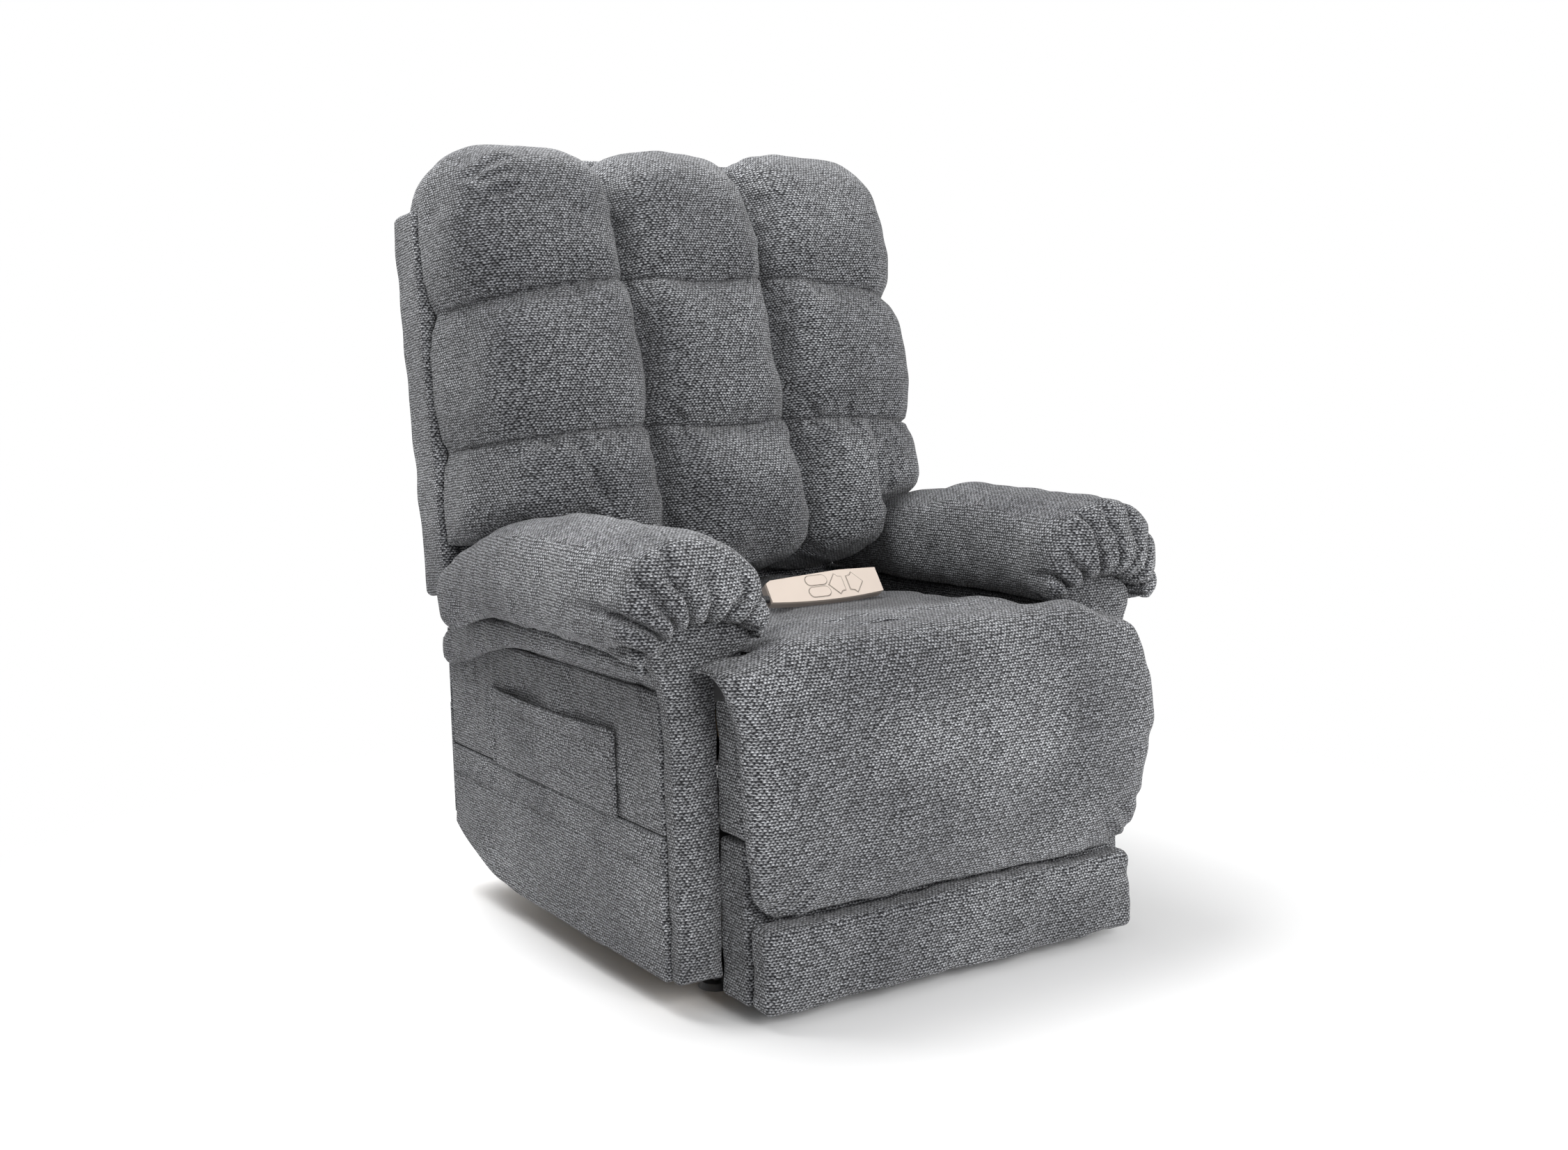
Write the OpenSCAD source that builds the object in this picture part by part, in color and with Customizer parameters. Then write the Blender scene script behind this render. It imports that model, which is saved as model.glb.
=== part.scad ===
// Powered lift recliner armchair: floor base, lift linkage, reclining back and leg rest.
// +Z is up, the chair faces -Y, and the origin is on the floor at the middle of its footprint.

/* [Seat and arms] */
// Clear width between the two arm bodies
seat_w = 596; // [560:2:640]
// Depth of the chair from the kick pad's face to the rear of the back
chair_d = 870; // [850:1:900]
// Distance from the kick pad's face back to the fronts of the arms
leg_stack = 111; // [108:1:125]
// Thickness of each arm body
arm_t = 65; // [60:1:80]
// Length of each arm body, front to rear
arm_l = 677; // [660:1:700]
// Height of the arm bodies' flat tops above the floor
arm_h = 445; // [443:1:452]
// Height of the arm bodies' lower edge above the floor
skirt_clear = 43; // [30:1:60]
// Radius of the sweep at the lower rear corner of the arms
heel_r = 520; // [300:5:600]
// Height of the hem where the lower skirt meets the side panel
hem_h = 226; // [200:1:260]
// Thickness of the padded side panels
panel_t = 18; // [12:1:24]
// How far the lower skirt stands proud of the side panel
skirt_proud = 3; // [1:0.5:6]
// Height of the padded band under each arm pillow
band_h = 42; // [34:1:50]
// Thickness of the arm's front facing
facing_t = 12; // [8:1:18]
// Width of each arm pillow
pillow_w = 180; // [160:1:190]
// Height of each arm pillow at its crest
pillow_h = 157; // [130:1:180]
// Overhang of the arm pillow past the arm's front
pillow_over = 51; // [20:1:55]
// Length of each arm pillow
pillow_l = 632; // [560:1:634]

/* [Seat cushion] */
// How far the seat's surface stands above the arm bodies' flat tops, at the back
seat_rise = 7; // [2:1:12]
// How far the crown at the front of the seat stands above the seat's back
crown_rise = 23; // [12:1:32]
// Thickness of the cushion over the springs
seat_t = 86; // [70:1:92]
// Gap between the cushion's side and the arm, where the handset's cord drops
side_gap = 9; // [8:0.5:12]
// Diameter of the spring wire
wire_d = 4; // [3:0.2:5]
// Number of zigzag springs under the seat
springs = 4; // [3:1:6]

/* [Storage pocket] */
// Length of the pocket along the arm
pocket_l = 386; // [300:1:420]
// Height of the pocket from its foot to its mouth
pocket_h = 113; // [90:1:130]
// Open depth inside the pocket
pocket_open = 9; // [6:0.5:16]
// Thickness of the pocket's fabric wall
pocket_t = 3; // [2:0.5:5]

/* [Back] */
// Half the width of the back over its wings
back_hw = 390; // [380:1:400]
// Height of the back's frame above its foot
back_frame_h = 640; // [600:1:650]
// Height of the padded crown above the foot of the back
back_crown_h = 654; // [648:1:676]
// Lean of the back at rest, in degrees
back_rake = 6.9; // [5:0.1:9]
// Thickness of the back from the wings' front to the rear cover
back_t = 88; // [80:1:96]
// Thickness of each wing, side to side
wing_t = 24; // [18:1:30]
// Height of the wings
wing_h = 565; // [500:1:600]
// Half width of the back cushion where it passes between the arm pillows
lumbar_hw = 236; // [200:1:238]
// Distance of each column seam from the middle of the back
column_x = 120; // [100:1:140]
// Depth of the puff of each back chamber beyond its seams
puff = 30; // [15:1:40]

/* [Leg rest] */
// Half the width of the leg rest's boxes
leg_hw = 286; // [280:1:288]
// Depth of the leg rest's boxes, front to rear
leg_box_d = 62; // [56:1:66]
// Height of the upper box's foot above the floor
leg_box_z = 233; // [228:1:245]
// Distance of the upper box's top below the leg rest's hinge
leg_box_gap = 18; // [16:1:26]
// Thickness of the leg rest's board
board_t = 16; // [12:1:20]
// Height of the leg pad's lower edge above the floor
leg_pad_z = 130; // [128:1:150]
// Half width of the leg pad at its widest
leg_pad_hw = 332; // [300:1:340]
// Half width of the kick pad
kick_hw = 293; // [270:1:300]
// Height of the kick pad's lower edge above the floor
kick_z = 18; // [14:1:26]
// Height of the kick pad
kick_h = 107; // [90:1:109]
// Height of the lower box's top above the floor
lower_box_top = 222; // [200:1:226]

/* [Steel parts] */
// Thickness of the linkage plates
plate_t = 6; // [5:0.5:8]
// Thickness of the two lifting arms
lift_arm_t = 8; // [6:0.5:10]
// Width of the base rails
rail_w = 40; // [30:1:50]
// Height of the base rails
rail_h = 40; // [30:1:44]
// Wall of the square tubes
tube_wall = 2.5; // [1.5:0.5:4]
// Side of the square cross tubes under the seat
cross_w = 25; // [20:1:26]
// Radius of the linkage pins
pin_r = 7; // [5:0.5:8]
// Outer radius of the lift's torque tube
torque_r = 19; // [17:0.5:22]
// Radius of the feet's pads
foot_r = 24; // [18:1:30]
// Height of the base rails above the floor
foot_h = 20; // [16:1:26]

/* [Drives] */
// Radius of each drive's outer tube
drive_tube_r = 21; // [18:0.5:22]
// Radius of each drive's push rod
drive_rod_r = 9; // [7:0.5:11]
// Radius of each drive's motor can
drive_can_r = 27; // [22:1:29]
// Length of each drive's motor can
drive_can_l = 95; // [70:1:110]

/* [Handset] */
// Length of the handset
handset_l = 184; // [160:1:210]
// Width of the handset at its middle
handset_w = 44; // [42:1:52]
// Thickness of the handset
handset_t = 16; // [14:0.5:22]
// Lean of the handset's face up from the seat, in degrees
handset_tilt = 55; // [30:1:60]
// Thickness of the handset's cover
cover_t = 5; // [4:0.5:7]
// Gap round each button
button_gap = 0.6; // [0.55:0.05:0.9]
// Diameter of the handset's cord
cord_d = 6; // [5:0.5:6.5]

/* [Hidden] */
$fn = 64;

// Clearances
fit = 0.05;         // a pin in its bore
seam = 0.3;         // between neighbouring soft or boxed pieces
lane_gap = 3;       // between neighbouring linkage plates
cap_gap = 7;        // between a link and the chair's plate, where a pin's cap sits
cap_t = 3;          // thickness of a pin's cap
cap_over = 3;       // how far a cap stands past its pin
mesh_over = 1;      // how far a cutter runs past the face it cuts
edge_tuck = 0.998;  // a plate's edges meet its corner rounds just inside their tangents

// Lines along the chair
front_y = -chair_d / 2;
arm_front = front_y + leg_stack;
arm_rear = arm_front + arm_l;
half_seat = seat_w / 2;
arm_outer = half_seat + arm_t;
pad_back = arm_front - leg_box_d - 6;       // rear of the leg pad and the kick pad
box_rear = arm_front - 4;                   // rear of the leg rest's boxes and board
arm_core = arm_t - panel_t - skirt_proud;   // thickness of the arm's timber frame

// Linkage lanes, from the middle outwards
flange_w = 23;
plate_x = half_seat - flange_w;
link_x = plate_x - cap_gap - plate_t;
bracket_x = link_x - lane_gap - plate_t;
lift_arm_x = bracket_x - lane_gap - lift_arm_t;
rail_x = bracket_x + plate_t / 2 - rail_w / 2;

// Pivots, as [y, z]
rail_top = foot_h + rail_h;
base_pivot = [-165, 140];
chair_pivot = [175, 140];
link_base = [-213.5, 114];
link_chair = [40.8, 99.1];
link_open = 0.6;                            // extra radius at the open end of the control links
lift_mount = [250, 100];
lift_pin = [-175, 210];
lift_eye_shift = [3.09, -2.44];
lift_eye_r = 12.4;
leg_hinge = [front_y + 75, arm_h - 35];
leg_mount = [205, arm_h - 205];
leg_pin = [arm_front + 12, arm_h - 130];
leg_eye_shift = [-3.81, 11.87];
leg_eye_r = 18.9;
back_y = chair_d / 2 - 166;
back_hinge = [back_y + 36, arm_h - 105];
back_mount = [-110, arm_h - 165];
back_pin = [back_y + 68, arm_h - 200];
back_eye_shift = [-0.25, 2.84];
back_eye_r = 9.3;
drive_pin_r = 8;
small_pin_r = 6;
drive_lane = 120;                           // side offset of the leg and back drives
eye_wall = 7;

// Heights under the seat
plate_low = arm_h - 155;
plate_top = arm_h - 115;
seat_top = arm_h + seat_rise;
crown_top = seat_top + crown_rise;
leg_box_top = leg_hinge[1] - leg_box_gap;
seat_bottom = seat_top - seat_t;
deck_top = seat_bottom - seam;
spring_z = deck_top - wire_d / 2;
nose_z = leg_hinge[1] + 15;                 // where the leg pad meets the nose of the seat

// Base
base_y = [-280, 300];
cross_front_y = -240;

// The raked back
back_z = arm_h + 20;
hinge_lane = plate_x - lane_gap - 8;
strap_t = 8;

// Handset
cord_exit = [-112, -135, arm_h + 27.5];
relief_l = 20;
relief_v = 14;
handset_end_w = 32;
// The points after the exit stand at these heights over the arm bodies' tops
cord_fall = [
    [-124, -135, 26], [-140, -133, 19], [-160, -128, 14], [-185, -120, 12], [-210, -110, 10],
    [-235, -98, 6], [-252, -88, 1], [-262, -80, -3], [-272, -72, -6.5], [-283, -62, -13],
    [-291, -50, -22], [-293.5, -42, -35], [-293.5, -36, -51], [-293.5, -30, -69], [-293, -22, -87],
    [-291, -8, -103], [-290, 12, -110], [-290, 40, -111], [-290, 68, -111], [-286, 88, -110],
    [-272, 100, -109], [-256, 106, -113], [-245, 109, -125], [-241, 110, -140], [-240, 110, -153],
    [-240, 110, -160]
];
cord_route = concat([cord_exit], [for (p = cord_fall) p + [0, 0, arm_h]]);

// ---------------------------------------------------------------- helpers

// A block given by its low and high value on each axis
module block(x, y, z)
    translate([x[0], y[0], z[0]]) cube([x[1] - x[0], y[1] - y[0], z[1] - z[0]]);

// The child and its mirror image across the middle of the chair
module both_sides() {
    children();
    mirror([1, 0, 0]) children();
}

// The child as drawn for the sitter's left, or mirrored for the right
module on_right() mirror([1, 0, 0]) children();

// A profile drawn in (y, z), raised along X
module along_x(x)
    translate([x[0], 0, 0]) rotate([90, 0, 90]) linear_extrude(x[1] - x[0]) children();

// A round bar along X through the point p = [y, z]
module pin(x, p, r)
    translate([x[0], p[0], p[1]]) rotate([0, 90, 0]) cylinder(h = x[1] - x[0], r = r);

module disc(p, r) translate(p) circle(r);

function unit(v) = v / norm(v);
function left_of(a, b) = let (d = unit(b - a)) [-d[1], d[0]];

// A straight bar with round ends
module bar(a, b, r) {
    n = left_of(a, b) * r * edge_tuck;
    disc(a, r);
    disc(b, r);
    polygon([a + n, a - n, b - n, b + n]);
}

// A convex plate with round corners, its points given anticlockwise
module plate(points, r) {
    n = len(points);
    polygon([for (i = [0:n - 1])
        let (a = points[i], b = points[(i + 1) % n], o = left_of(a, b) * r * edge_tuck)
            each [a - o, b - o]]);
    for (p = points) disc(p, r);
}

// A rectangle with round corners, by its low and high corner
module round_rect(low, high, r) {
    translate([low[0] + r, low[1]]) square([high[0] - low[0] - 2 * r, high[1] - low[1]]);
    translate([low[0], low[1] + r]) square([high[0] - low[0], high[1] - low[1] - 2 * r]);
    for (x = [low[0] + r, high[0] - r], y = [low[1] + r, high[1] - r]) disc([x, y], r);
}

// A point on a rounded square of exponent e, at angle a
function squircle(a, e) = [
    sign(cos(a)) * pow(abs(cos(a)), 2 / e),
    sign(sin(a)) * pow(abs(sin(a)), 2 / e)
];

function middle(ring) = [for (k = [0:2]) let (v = [for (p = ring) p[k]]) (min(v) + max(v)) / 2];

// A closed skin over a row of rings, each of the same number of points
module loft(rings) {
    m = len(rings);
    n = len(rings[0]);
    points = concat([for (ring = rings) for (p = ring) p], [middle(rings[0]), middle(rings[m - 1])]);
    sides = [for (i = [0:m - 2]) for (j = [0:n - 1])
        let (a = i * n + j, b = i * n + (j + 1) % n) each [[a, b, b + n], [a, b + n, a + n]]];
    first = [for (j = [0:n - 1]) [m * n, (j + 1) % n, j]];
    last = [for (j = [0:n - 1]) [m * n + 1, (m - 1) * n + j, (m - 1) * n + (j + 1) % n]];
    polyhedron(points, concat(sides, first, last));
}

// A value that eases from 0 to 1 as t goes from 0 to 1
function ease(t) = let (c = min(1, max(0, t))) c * c * (3 - 2 * c);

// Straight interpolation in a table of [key, value] rows
function table(rows, key) = lookup(key, rows);

// ---------------------------------------------------------------- base

module base_rail() color([0.12, 0.12, 0.13]) difference() {
    block([rail_x, rail_x + rail_w], base_y, [foot_h, rail_top]);
    block([rail_x + tube_wall, rail_x + rail_w - tube_wall],
        [base_y[0] - mesh_over, base_y[1] + mesh_over], [foot_h + tube_wall, rail_top - tube_wall]);
    for (y = foot_places) translate([rail_x + rail_w / 2, y, foot_h - mesh_over])
        cylinder(h = tube_wall + 2 * mesh_over, r = foot_stem_r + fit);
}
foot_places = [base_y[0] + 30, base_y[1] - 30];
foot_stem_r = 5;
foot_pad_h = 8;
foot_nut_h = 7;
foot_stem_h = 14;

module base_rail_left() base_rail();
module base_rail_right() on_right() base_rail();

// A square tube along X, from -x to x, with its low corner at (y, z)
module square_tube(x, y, z, w) difference() {
    block([-x, x], [y, y + w], [z, z + w]);
    block([-x - mesh_over, x + mesh_over], [y + tube_wall, y + w - tube_wall],
        [z + tube_wall, z + w - tube_wall]);
}

// Two ears and a pin that hold a drive's eye at the point p, standing on or hung from a tube at z
module clevis(x, p, z, r) {
    reach = drive_eye_w / 2 + 0.5;
    for (s = [-1, 1]) along_x(s > 0 ? [x + reach, x + reach + plate_t] : [x - reach - plate_t, x - reach]) {
        disc(p, r + eye_wall);
        translate([p[0] - r - eye_wall, min(z, p[1])]) square([2 * (r + eye_wall), abs(z - p[1])]);
    }
    pin([x - reach - plate_t, x + reach + plate_t], p, r);
}
drive_eye_w = 30;

module base_cross_tubes() color([0.12, 0.12, 0.13]) {
    square_tube(rail_x, cross_front_y, foot_h, rail_h);
    square_tube(rail_x, lift_mount[0] - rail_h / 2, foot_h, rail_h);
    clevis(0, lift_mount, rail_top, drive_pin_r);
}

module pivot_brackets() color([0.12, 0.12, 0.13]) both_sides() {
    bracket = [bracket_x, bracket_x + plate_t];
    foot_low = rail_top + 6;
    along_x(bracket) intersection() {
        plate([[link_base[0] - 27, foot_low], [base_pivot[0] + 35, foot_low], base_pivot, link_base], 16);
        translate([base_y[0], rail_top]) square([chair_d, arm_h]);
    }
    pin([lift_arm_x - 0.5, bracket[0]], base_pivot, pin_r);
    pin([lift_arm_x - 0.5 - cap_t, lift_arm_x - 0.5], base_pivot, pin_r + cap_over);
    pin([bracket[1], link_x + plate_t + 0.5], link_base, pin_r);
    pin([link_x + plate_t + 0.5, link_x + plate_t + 0.5 + cap_t], link_base, pin_r + cap_over);
}

module levelling_feet() color([0.05, 0.05, 0.05]) both_sides() for (y = foot_places)
    translate([rail_x + rail_w / 2, y, 0]) {
        cylinder(h = foot_pad_h, r1 = foot_r, r2 = foot_r - 4);
        cylinder(h = foot_h + foot_stem_h, r = foot_stem_r);
        translate([0, 0, foot_h - foot_nut_h]) cylinder(h = foot_nut_h, r = 9.5, $fn = 6);
    }

// ---------------------------------------------------------------- lift linkage

module lift_arm() color([0.2, 0.2, 0.21]) along_x([lift_arm_x, lift_arm_x + lift_arm_t])
    difference() {
        bar(base_pivot, chair_pivot, 22);
        disc(base_pivot, pin_r + fit);
        disc(chair_pivot, pin_r + fit);
    }

module lift_arm_left() lift_arm();
module lift_arm_right() on_right() lift_arm();

module lift_torque_tube() color([0.2, 0.2, 0.21]) {
    eye = lift_pin + lift_eye_shift;
    difference() {
        union() {
            pin([-lift_arm_x, lift_arm_x], base_pivot, torque_r);
            both_sides() along_x([rod_head_w / 2 + 1, rod_head_w / 2 + 1 + plate_t]) {
                bar(base_pivot, eye, lift_eye_r + 4);
                disc(eye, lift_eye_r + eye_wall);
            }
        }
        pin([-half_seat, half_seat], base_pivot, torque_r - 4);
        pin([-drive_eye_w, drive_eye_w], eye, lift_eye_r);
    }
}
rod_head_w = 17;

module control_links() color([0.2, 0.2, 0.21]) both_sides() along_x([link_x, link_x + plate_t])
    difference() {
        bar(link_base, link_chair, 15);
        disc(link_base, pin_r + fit);
        disc(link_chair, pin_r + link_open);
    }

// ---------------------------------------------------------------- drives

// Puts the child at the point a, with its +Y pointing at b, in the lane at x
module on_line(a, b, x)
    translate([x, a[0], a[1]]) rotate([atan2(b[1] - a[1], b[0] - a[0]), 0, 0]) children();

module along_y(y, r) translate([0, y[0], 0]) rotate([-90, 0, 0]) cylinder(h = y[1] - y[0], r = r);

gear_y = [32, 95];
gear_half_h = 30;
can_off = 50;

// Housing of a drive: rear eye, gearbox, motor can beside it and the tube that guides the rod
module drive_housing(tube_end, bore_l, eye_r, can_side) difference() {
    union() {
        rotate([0, 90, 0]) cylinder(h = drive_eye_w, r = eye_r + 10, center = true);
        along_y([0, gear_y[0] + 1], 14);
        along_y([gear_y[1] - 1, tube_end], drive_tube_r);
        block(can_side > 0 ? [-28, can_off + 24] : [-can_off - 24, 28], gear_y,
            [-gear_half_h, gear_half_h]);
        translate([can_side * can_off, 0, 0]) along_y([gear_y[1] - 1, gear_y[1] + drive_can_l],
            drive_can_r);
    }
    rotate([0, 90, 0]) cylinder(h = 3 * drive_eye_w, r = eye_r + fit, center = true);
    along_y([tube_end - bore_l, tube_end + mesh_over], drive_rod_r + fit);
}

// Push rod of a drive: its cross pin lies at the distance l from the drive's mount
module drive_rod(l, rod_l, pin_radius) {
    along_y([l - rod_l, l - 6], drive_rod_r);
    translate([0, l, 0]) rotate([0, 90, 0]) {
        cylinder(h = rod_head_w, r = pin_radius + 7, center = true);
        cylinder(h = rod_head_w + 2 + 2 * plate_t, r = pin_radius, center = true);
    }
}

lift_len = norm(lift_pin - lift_mount);
leg_len = norm(leg_pin - leg_mount);
back_len = norm(back_pin - back_mount);
lift_travel = 46;
leg_travel = 142;
leg_tube = 295;                             // the leg drive's tube stops short of the front cross tube
back_travel = 67;
grip = 22;                                  // least length of rod left in its tube

module lift_motor() color([0.09, 0.09, 0.1]) on_line(lift_mount, lift_pin, 0)
    drive_housing(lift_len - 65, lift_travel + 4 * grip, drive_pin_r, 1);
module lift_rod() color([0.7, 0.71, 0.72]) on_line(lift_mount, lift_pin, 0)
    drive_rod(lift_len, 65 + lift_travel + grip, drive_pin_r);

module leg_motor() color([0.09, 0.09, 0.1]) on_line(leg_mount, leg_pin, drive_lane)
    drive_housing(leg_tube, leg_travel + 2 * grip, drive_pin_r, 1);
module leg_rod() color([0.7, 0.71, 0.72]) on_line(leg_mount, leg_pin, drive_lane)
    drive_rod(leg_len, leg_len - leg_tube + leg_travel + grip, small_pin_r);

module back_motor() color([0.09, 0.09, 0.1]) on_line(back_mount, back_pin, -drive_lane)
    drive_housing(back_len - back_travel - 45, back_travel + 4 * grip, drive_pin_r, 1);
module back_rod() color([0.7, 0.71, 0.72]) on_line(back_mount, back_pin, -drive_lane)
    drive_rod(back_len, back_travel + 45 + 3 * grip, small_pin_r);

// ---------------------------------------------------------------- chair frame

module mechanism_plate() color([0.16, 0.16, 0.17]) {
    lane = [plate_x, plate_x + plate_t];
    rail_y = [arm_front + 28, back_hinge[0] + 8];
    along_x(lane) {
        plate([link_chair, chair_pivot, [230, plate_low + 21], [-20, plate_low + 21]], 16);
        plate([[200, plate_low + 19], back_hinge - [0, 22], back_hinge], 16);
        translate([rail_y[0], plate_low]) square([rail_y[1] - rail_y[0], plate_top - plate_low]);
    }
    block([lane[1] - mesh_over, half_seat], rail_y, [plate_top - plate_t, plate_top]);
    pin([lift_arm_x - 0.5, lane[0]], chair_pivot, pin_r);
    pin([lift_arm_x - 0.5 - cap_t, lift_arm_x - 0.5], chair_pivot, pin_r + cap_over);
    pin([link_x - 0.5, lane[0]], link_chair, pin_r);
    pin([link_x - 0.5 - cap_t + 0.5, link_x - 0.5], link_chair, pin_r + cap_over);
    pin([hinge_lane - 0.5, lane[0]], back_hinge, pin_r);
    pin([hinge_lane - 0.5 - cap_t, hinge_lane - 0.5], back_hinge, pin_r + cap_over);
}

module mechanism_plate_left() mechanism_plate();
module mechanism_plate_right() on_right() mechanism_plate();

module seat_cross_tube_front() color([0.16, 0.16, 0.17]) {
    square_tube(plate_x, back_mount[0] - cross_w / 2, plate_top - cross_w, cross_w);
    clevis(-drive_lane, back_mount, plate_top - cross_w, drive_pin_r);
}

module seat_cross_tube_rear() color([0.16, 0.16, 0.17]) {
    square_tube(plate_x, leg_mount[0] - cross_w / 2, plate_top - cross_w, cross_w);
    clevis(drive_lane, leg_mount, plate_top - cross_w, drive_pin_r);
}

front_rail_y = [arm_front + 40, arm_front + 64];
rear_rail_y = [leg_mount[0] - 18, leg_mount[0] + 7];
module seat_rail_front() color([0.72, 0.58, 0.4])
    block([-half_seat, half_seat], front_rail_y, [plate_top + 10, deck_top]);
module seat_rail_rear() color([0.72, 0.58, 0.4])
    block([-half_seat, half_seat], rear_rail_y, [plate_top, deck_top]);

// One zigzag spring: straight bars across, joined by half turns at alternate ends
spring_pitch = 44;
spring_half = 20;
module zigzag(length) {
    bars = floor((length - spring_pitch) / spring_pitch / 2) * 2;
    lead = (length - (bars - 1) * spring_pitch) / 2;
    turn = spring_pitch / 2;
    wire_r = wire_d / 2;
    for (i = [0:bars - 1]) translate([-spring_half, lead + i * spring_pitch, 0]) rotate([0, 90, 0])
        cylinder(h = 2 * spring_half, r = wire_r, $fn = 24);
    for (i = [0:bars - 2])
        translate([(i % 2 == 0 ? 1 : -1) * spring_half, lead + (i + 0.5) * spring_pitch, 0])
        rotate([0, 0, i % 2 == 0 ? -90 : 90]) rotate_extrude(angle = 180, $fn = 48)
            translate([turn, 0]) circle(wire_r, $fn = 24);
    translate([-spring_half, 0, 0]) rotate([-90, 0, 0]) cylinder(h = lead, r = wire_r, $fn = 24);
    translate([-spring_half, length - lead, 0]) rotate([-90, 0, 0])
        cylinder(h = lead, r = wire_r, $fn = 24);
}

module seat_springs() color([0.6, 0.6, 0.62]) {
    run = rear_rail_y[0] - front_rail_y[1];
    step = 2 * (half_seat - 70) / (springs - 1);
    for (i = [0:springs - 1]) translate([-half_seat + 70 + i * step, front_rail_y[1], spring_z])
        zigzag(run);
}

// ---------------------------------------------------------------- arms

// Side outline of an arm between two heights, drawn in by inset at the heel and the ends
module side_outline(y, low, high, inset) intersection() {
    translate([y[0], low]) square([y[1] - y[0], high - low]);
    union() {
        heel_y = arm_rear - sqrt(heel_r * heel_r - pow(heel_r - heel_rise, 2));
        translate([y[0], skirt_clear + inset]) square([heel_y - y[0], arm_h]);
        disc([heel_y, skirt_clear + heel_r], heel_r - inset);
    }
}
heel_rise = 62;

module arm_frame() color([0.72, 0.58, 0.4]) {
    y = [arm_front + facing_t, arm_rear + 3];
    post = 45;
    ply_t = 15;
    inset = 6;
    x = [half_seat, half_seat + arm_core];
    top = arm_h - band_h;
    along_x([x[1] - ply_t, x[1]]) side_outline(y, skirt_clear, top, inset);
    along_x([x[0], x[1] - ply_t + mesh_over])
        side_outline([y[0], y[0] + post], skirt_clear, top, inset);
    along_x([x[0], x[1] - ply_t + mesh_over])
        side_outline([y[1] - post, y[1]], skirt_clear, top, inset);
    block([x[0], x[1] - ply_t + mesh_over], y, [top - post / 2, top]);
    block([x[0], x[1] - ply_t + mesh_over], y, [plate_low, plate_top]);
}
module arm_frame_left() arm_frame();
module arm_frame_right() on_right() arm_frame();

module side_panel() color([0.42, 0.43, 0.45])
    along_x([half_seat + arm_core, arm_outer - skirt_proud])
        side_outline([arm_front + facing_t, arm_rear], hem_h, arm_h - band_h, 0);
module side_panel_left() side_panel();
module side_panel_right() on_right() side_panel();

module side_skirt() color([0.4, 0.41, 0.43]) along_x([half_seat + arm_core, arm_outer])
    side_outline([arm_front + facing_t, arm_rear], skirt_clear, hem_h - seam, 0);
module side_skirt_left() side_skirt();
module side_skirt_right() on_right() side_skirt();

// Front facing: a narrow upright that swells into a round top under the pillow
module arm_facing() color([0.42, 0.43, 0.45])
    translate([0, arm_front + facing_t, 0]) rotate([90, 0, 0]) linear_extrude(facing_t)
        intersection() {
            union() {
                round_rect([half_seat, skirt_clear], [arm_outer, arm_h], 6);
                disc([half_seat + 18, arm_h - 27], 64);
            }
            translate([half_seat, 0]) square([arm_t + pillow_w, arm_h - seam]);
        }
module arm_facing_left() arm_facing();
module arm_facing_right() on_right() arm_facing();

module arm_band() color([0.42, 0.43, 0.45])
    translate([0, arm_rear, 0]) rotate([90, 0, 0]) linear_extrude(arm_l - facing_t)
        round_rect([half_seat, arm_h - band_h], [arm_outer + 20, arm_h], 16);
module arm_band_left() arm_band();
module arm_band_right() on_right() arm_band();

// Arm pillow: rings along the arm, flat below, with a blunt rolled front and a falling rear
pillow_crest = [[0, 0.55], [0.02, 0.72], [0.06, 0.88], [0.12, 0.96], [0.25, 1], [0.7, 1], [0.85, 0.93],
    [0.95, 0.78], [1, 0.6]];
pillow_swell = [[0, 0.72], [0.02, 0.86], [0.06, 0.97], [0.12, 1], [0.85, 1], [0.95, 0.95], [1, 0.8]];
module arm_pillow() color([0.44, 0.45, 0.47]) {
    sides = 24;
    rings = 18;
    x0 = half_seat + 32;
    foot = arm_h + seam;
    loft([for (i = [0:rings]) let (
        t = i < 5 ? 0.02 * i : 0.08 + 0.92 * (i - 4) / (rings - 4),
        high = pillow_h * table(pillow_crest, t),
        half = pillow_w / 2 * table(pillow_swell, t),
        mid = foot + 0.46 * high)
        [for (j = [0:sides - 1]) let (p = squircle(360 * j / sides, 2.7))
            [x0 + half * p[0], arm_front - pillow_over + pillow_l * t,
                p[1] > 0 ? mid + p[1] * (foot + high - mid)
                    : max(foot, mid + 1.25 * p[1] * (mid - foot))]]]);
}
module arm_pillow_left() arm_pillow();
module arm_pillow_right() on_right() arm_pillow();

// Panel that closes the rear of the body, between and behind the arms
module rear_panel() color([0.4, 0.41, 0.43])
    block([-half_seat - arm_core, half_seat + arm_core], [arm_rear + 3, arm_rear + 9],
        [skirt_clear + heel_rise + 15, plate_low - 2]);

pocket_y = [arm_front + 127, arm_front + 127 + pocket_l];
pocket_z = [hem_h + seam, hem_h + pocket_h];
module storage_pocket() color([0.4, 0.41, 0.43]) on_right() {
    wall = 6;
    x0 = arm_outer - skirt_proud;
    difference() {
        block([x0, x0 + pocket_open + pocket_t], pocket_y, pocket_z);
        block([x0 - mesh_over, x0 + pocket_open], [pocket_y[0] + wall, pocket_y[1] - wall],
            [pocket_z[0] + wall, pocket_z[1] + mesh_over]);
    }
}

// ---------------------------------------------------------------- seat and leg rest upholstery

// Height of the seat's surface along the chair, at its middle
seat_line = [[arm_front, crown_top - 7], [arm_front + 90, seat_top + 8], [arm_front + 175, seat_top + 4],
    [arm_front + 350, seat_top], [arm_rear, seat_top]];

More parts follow.
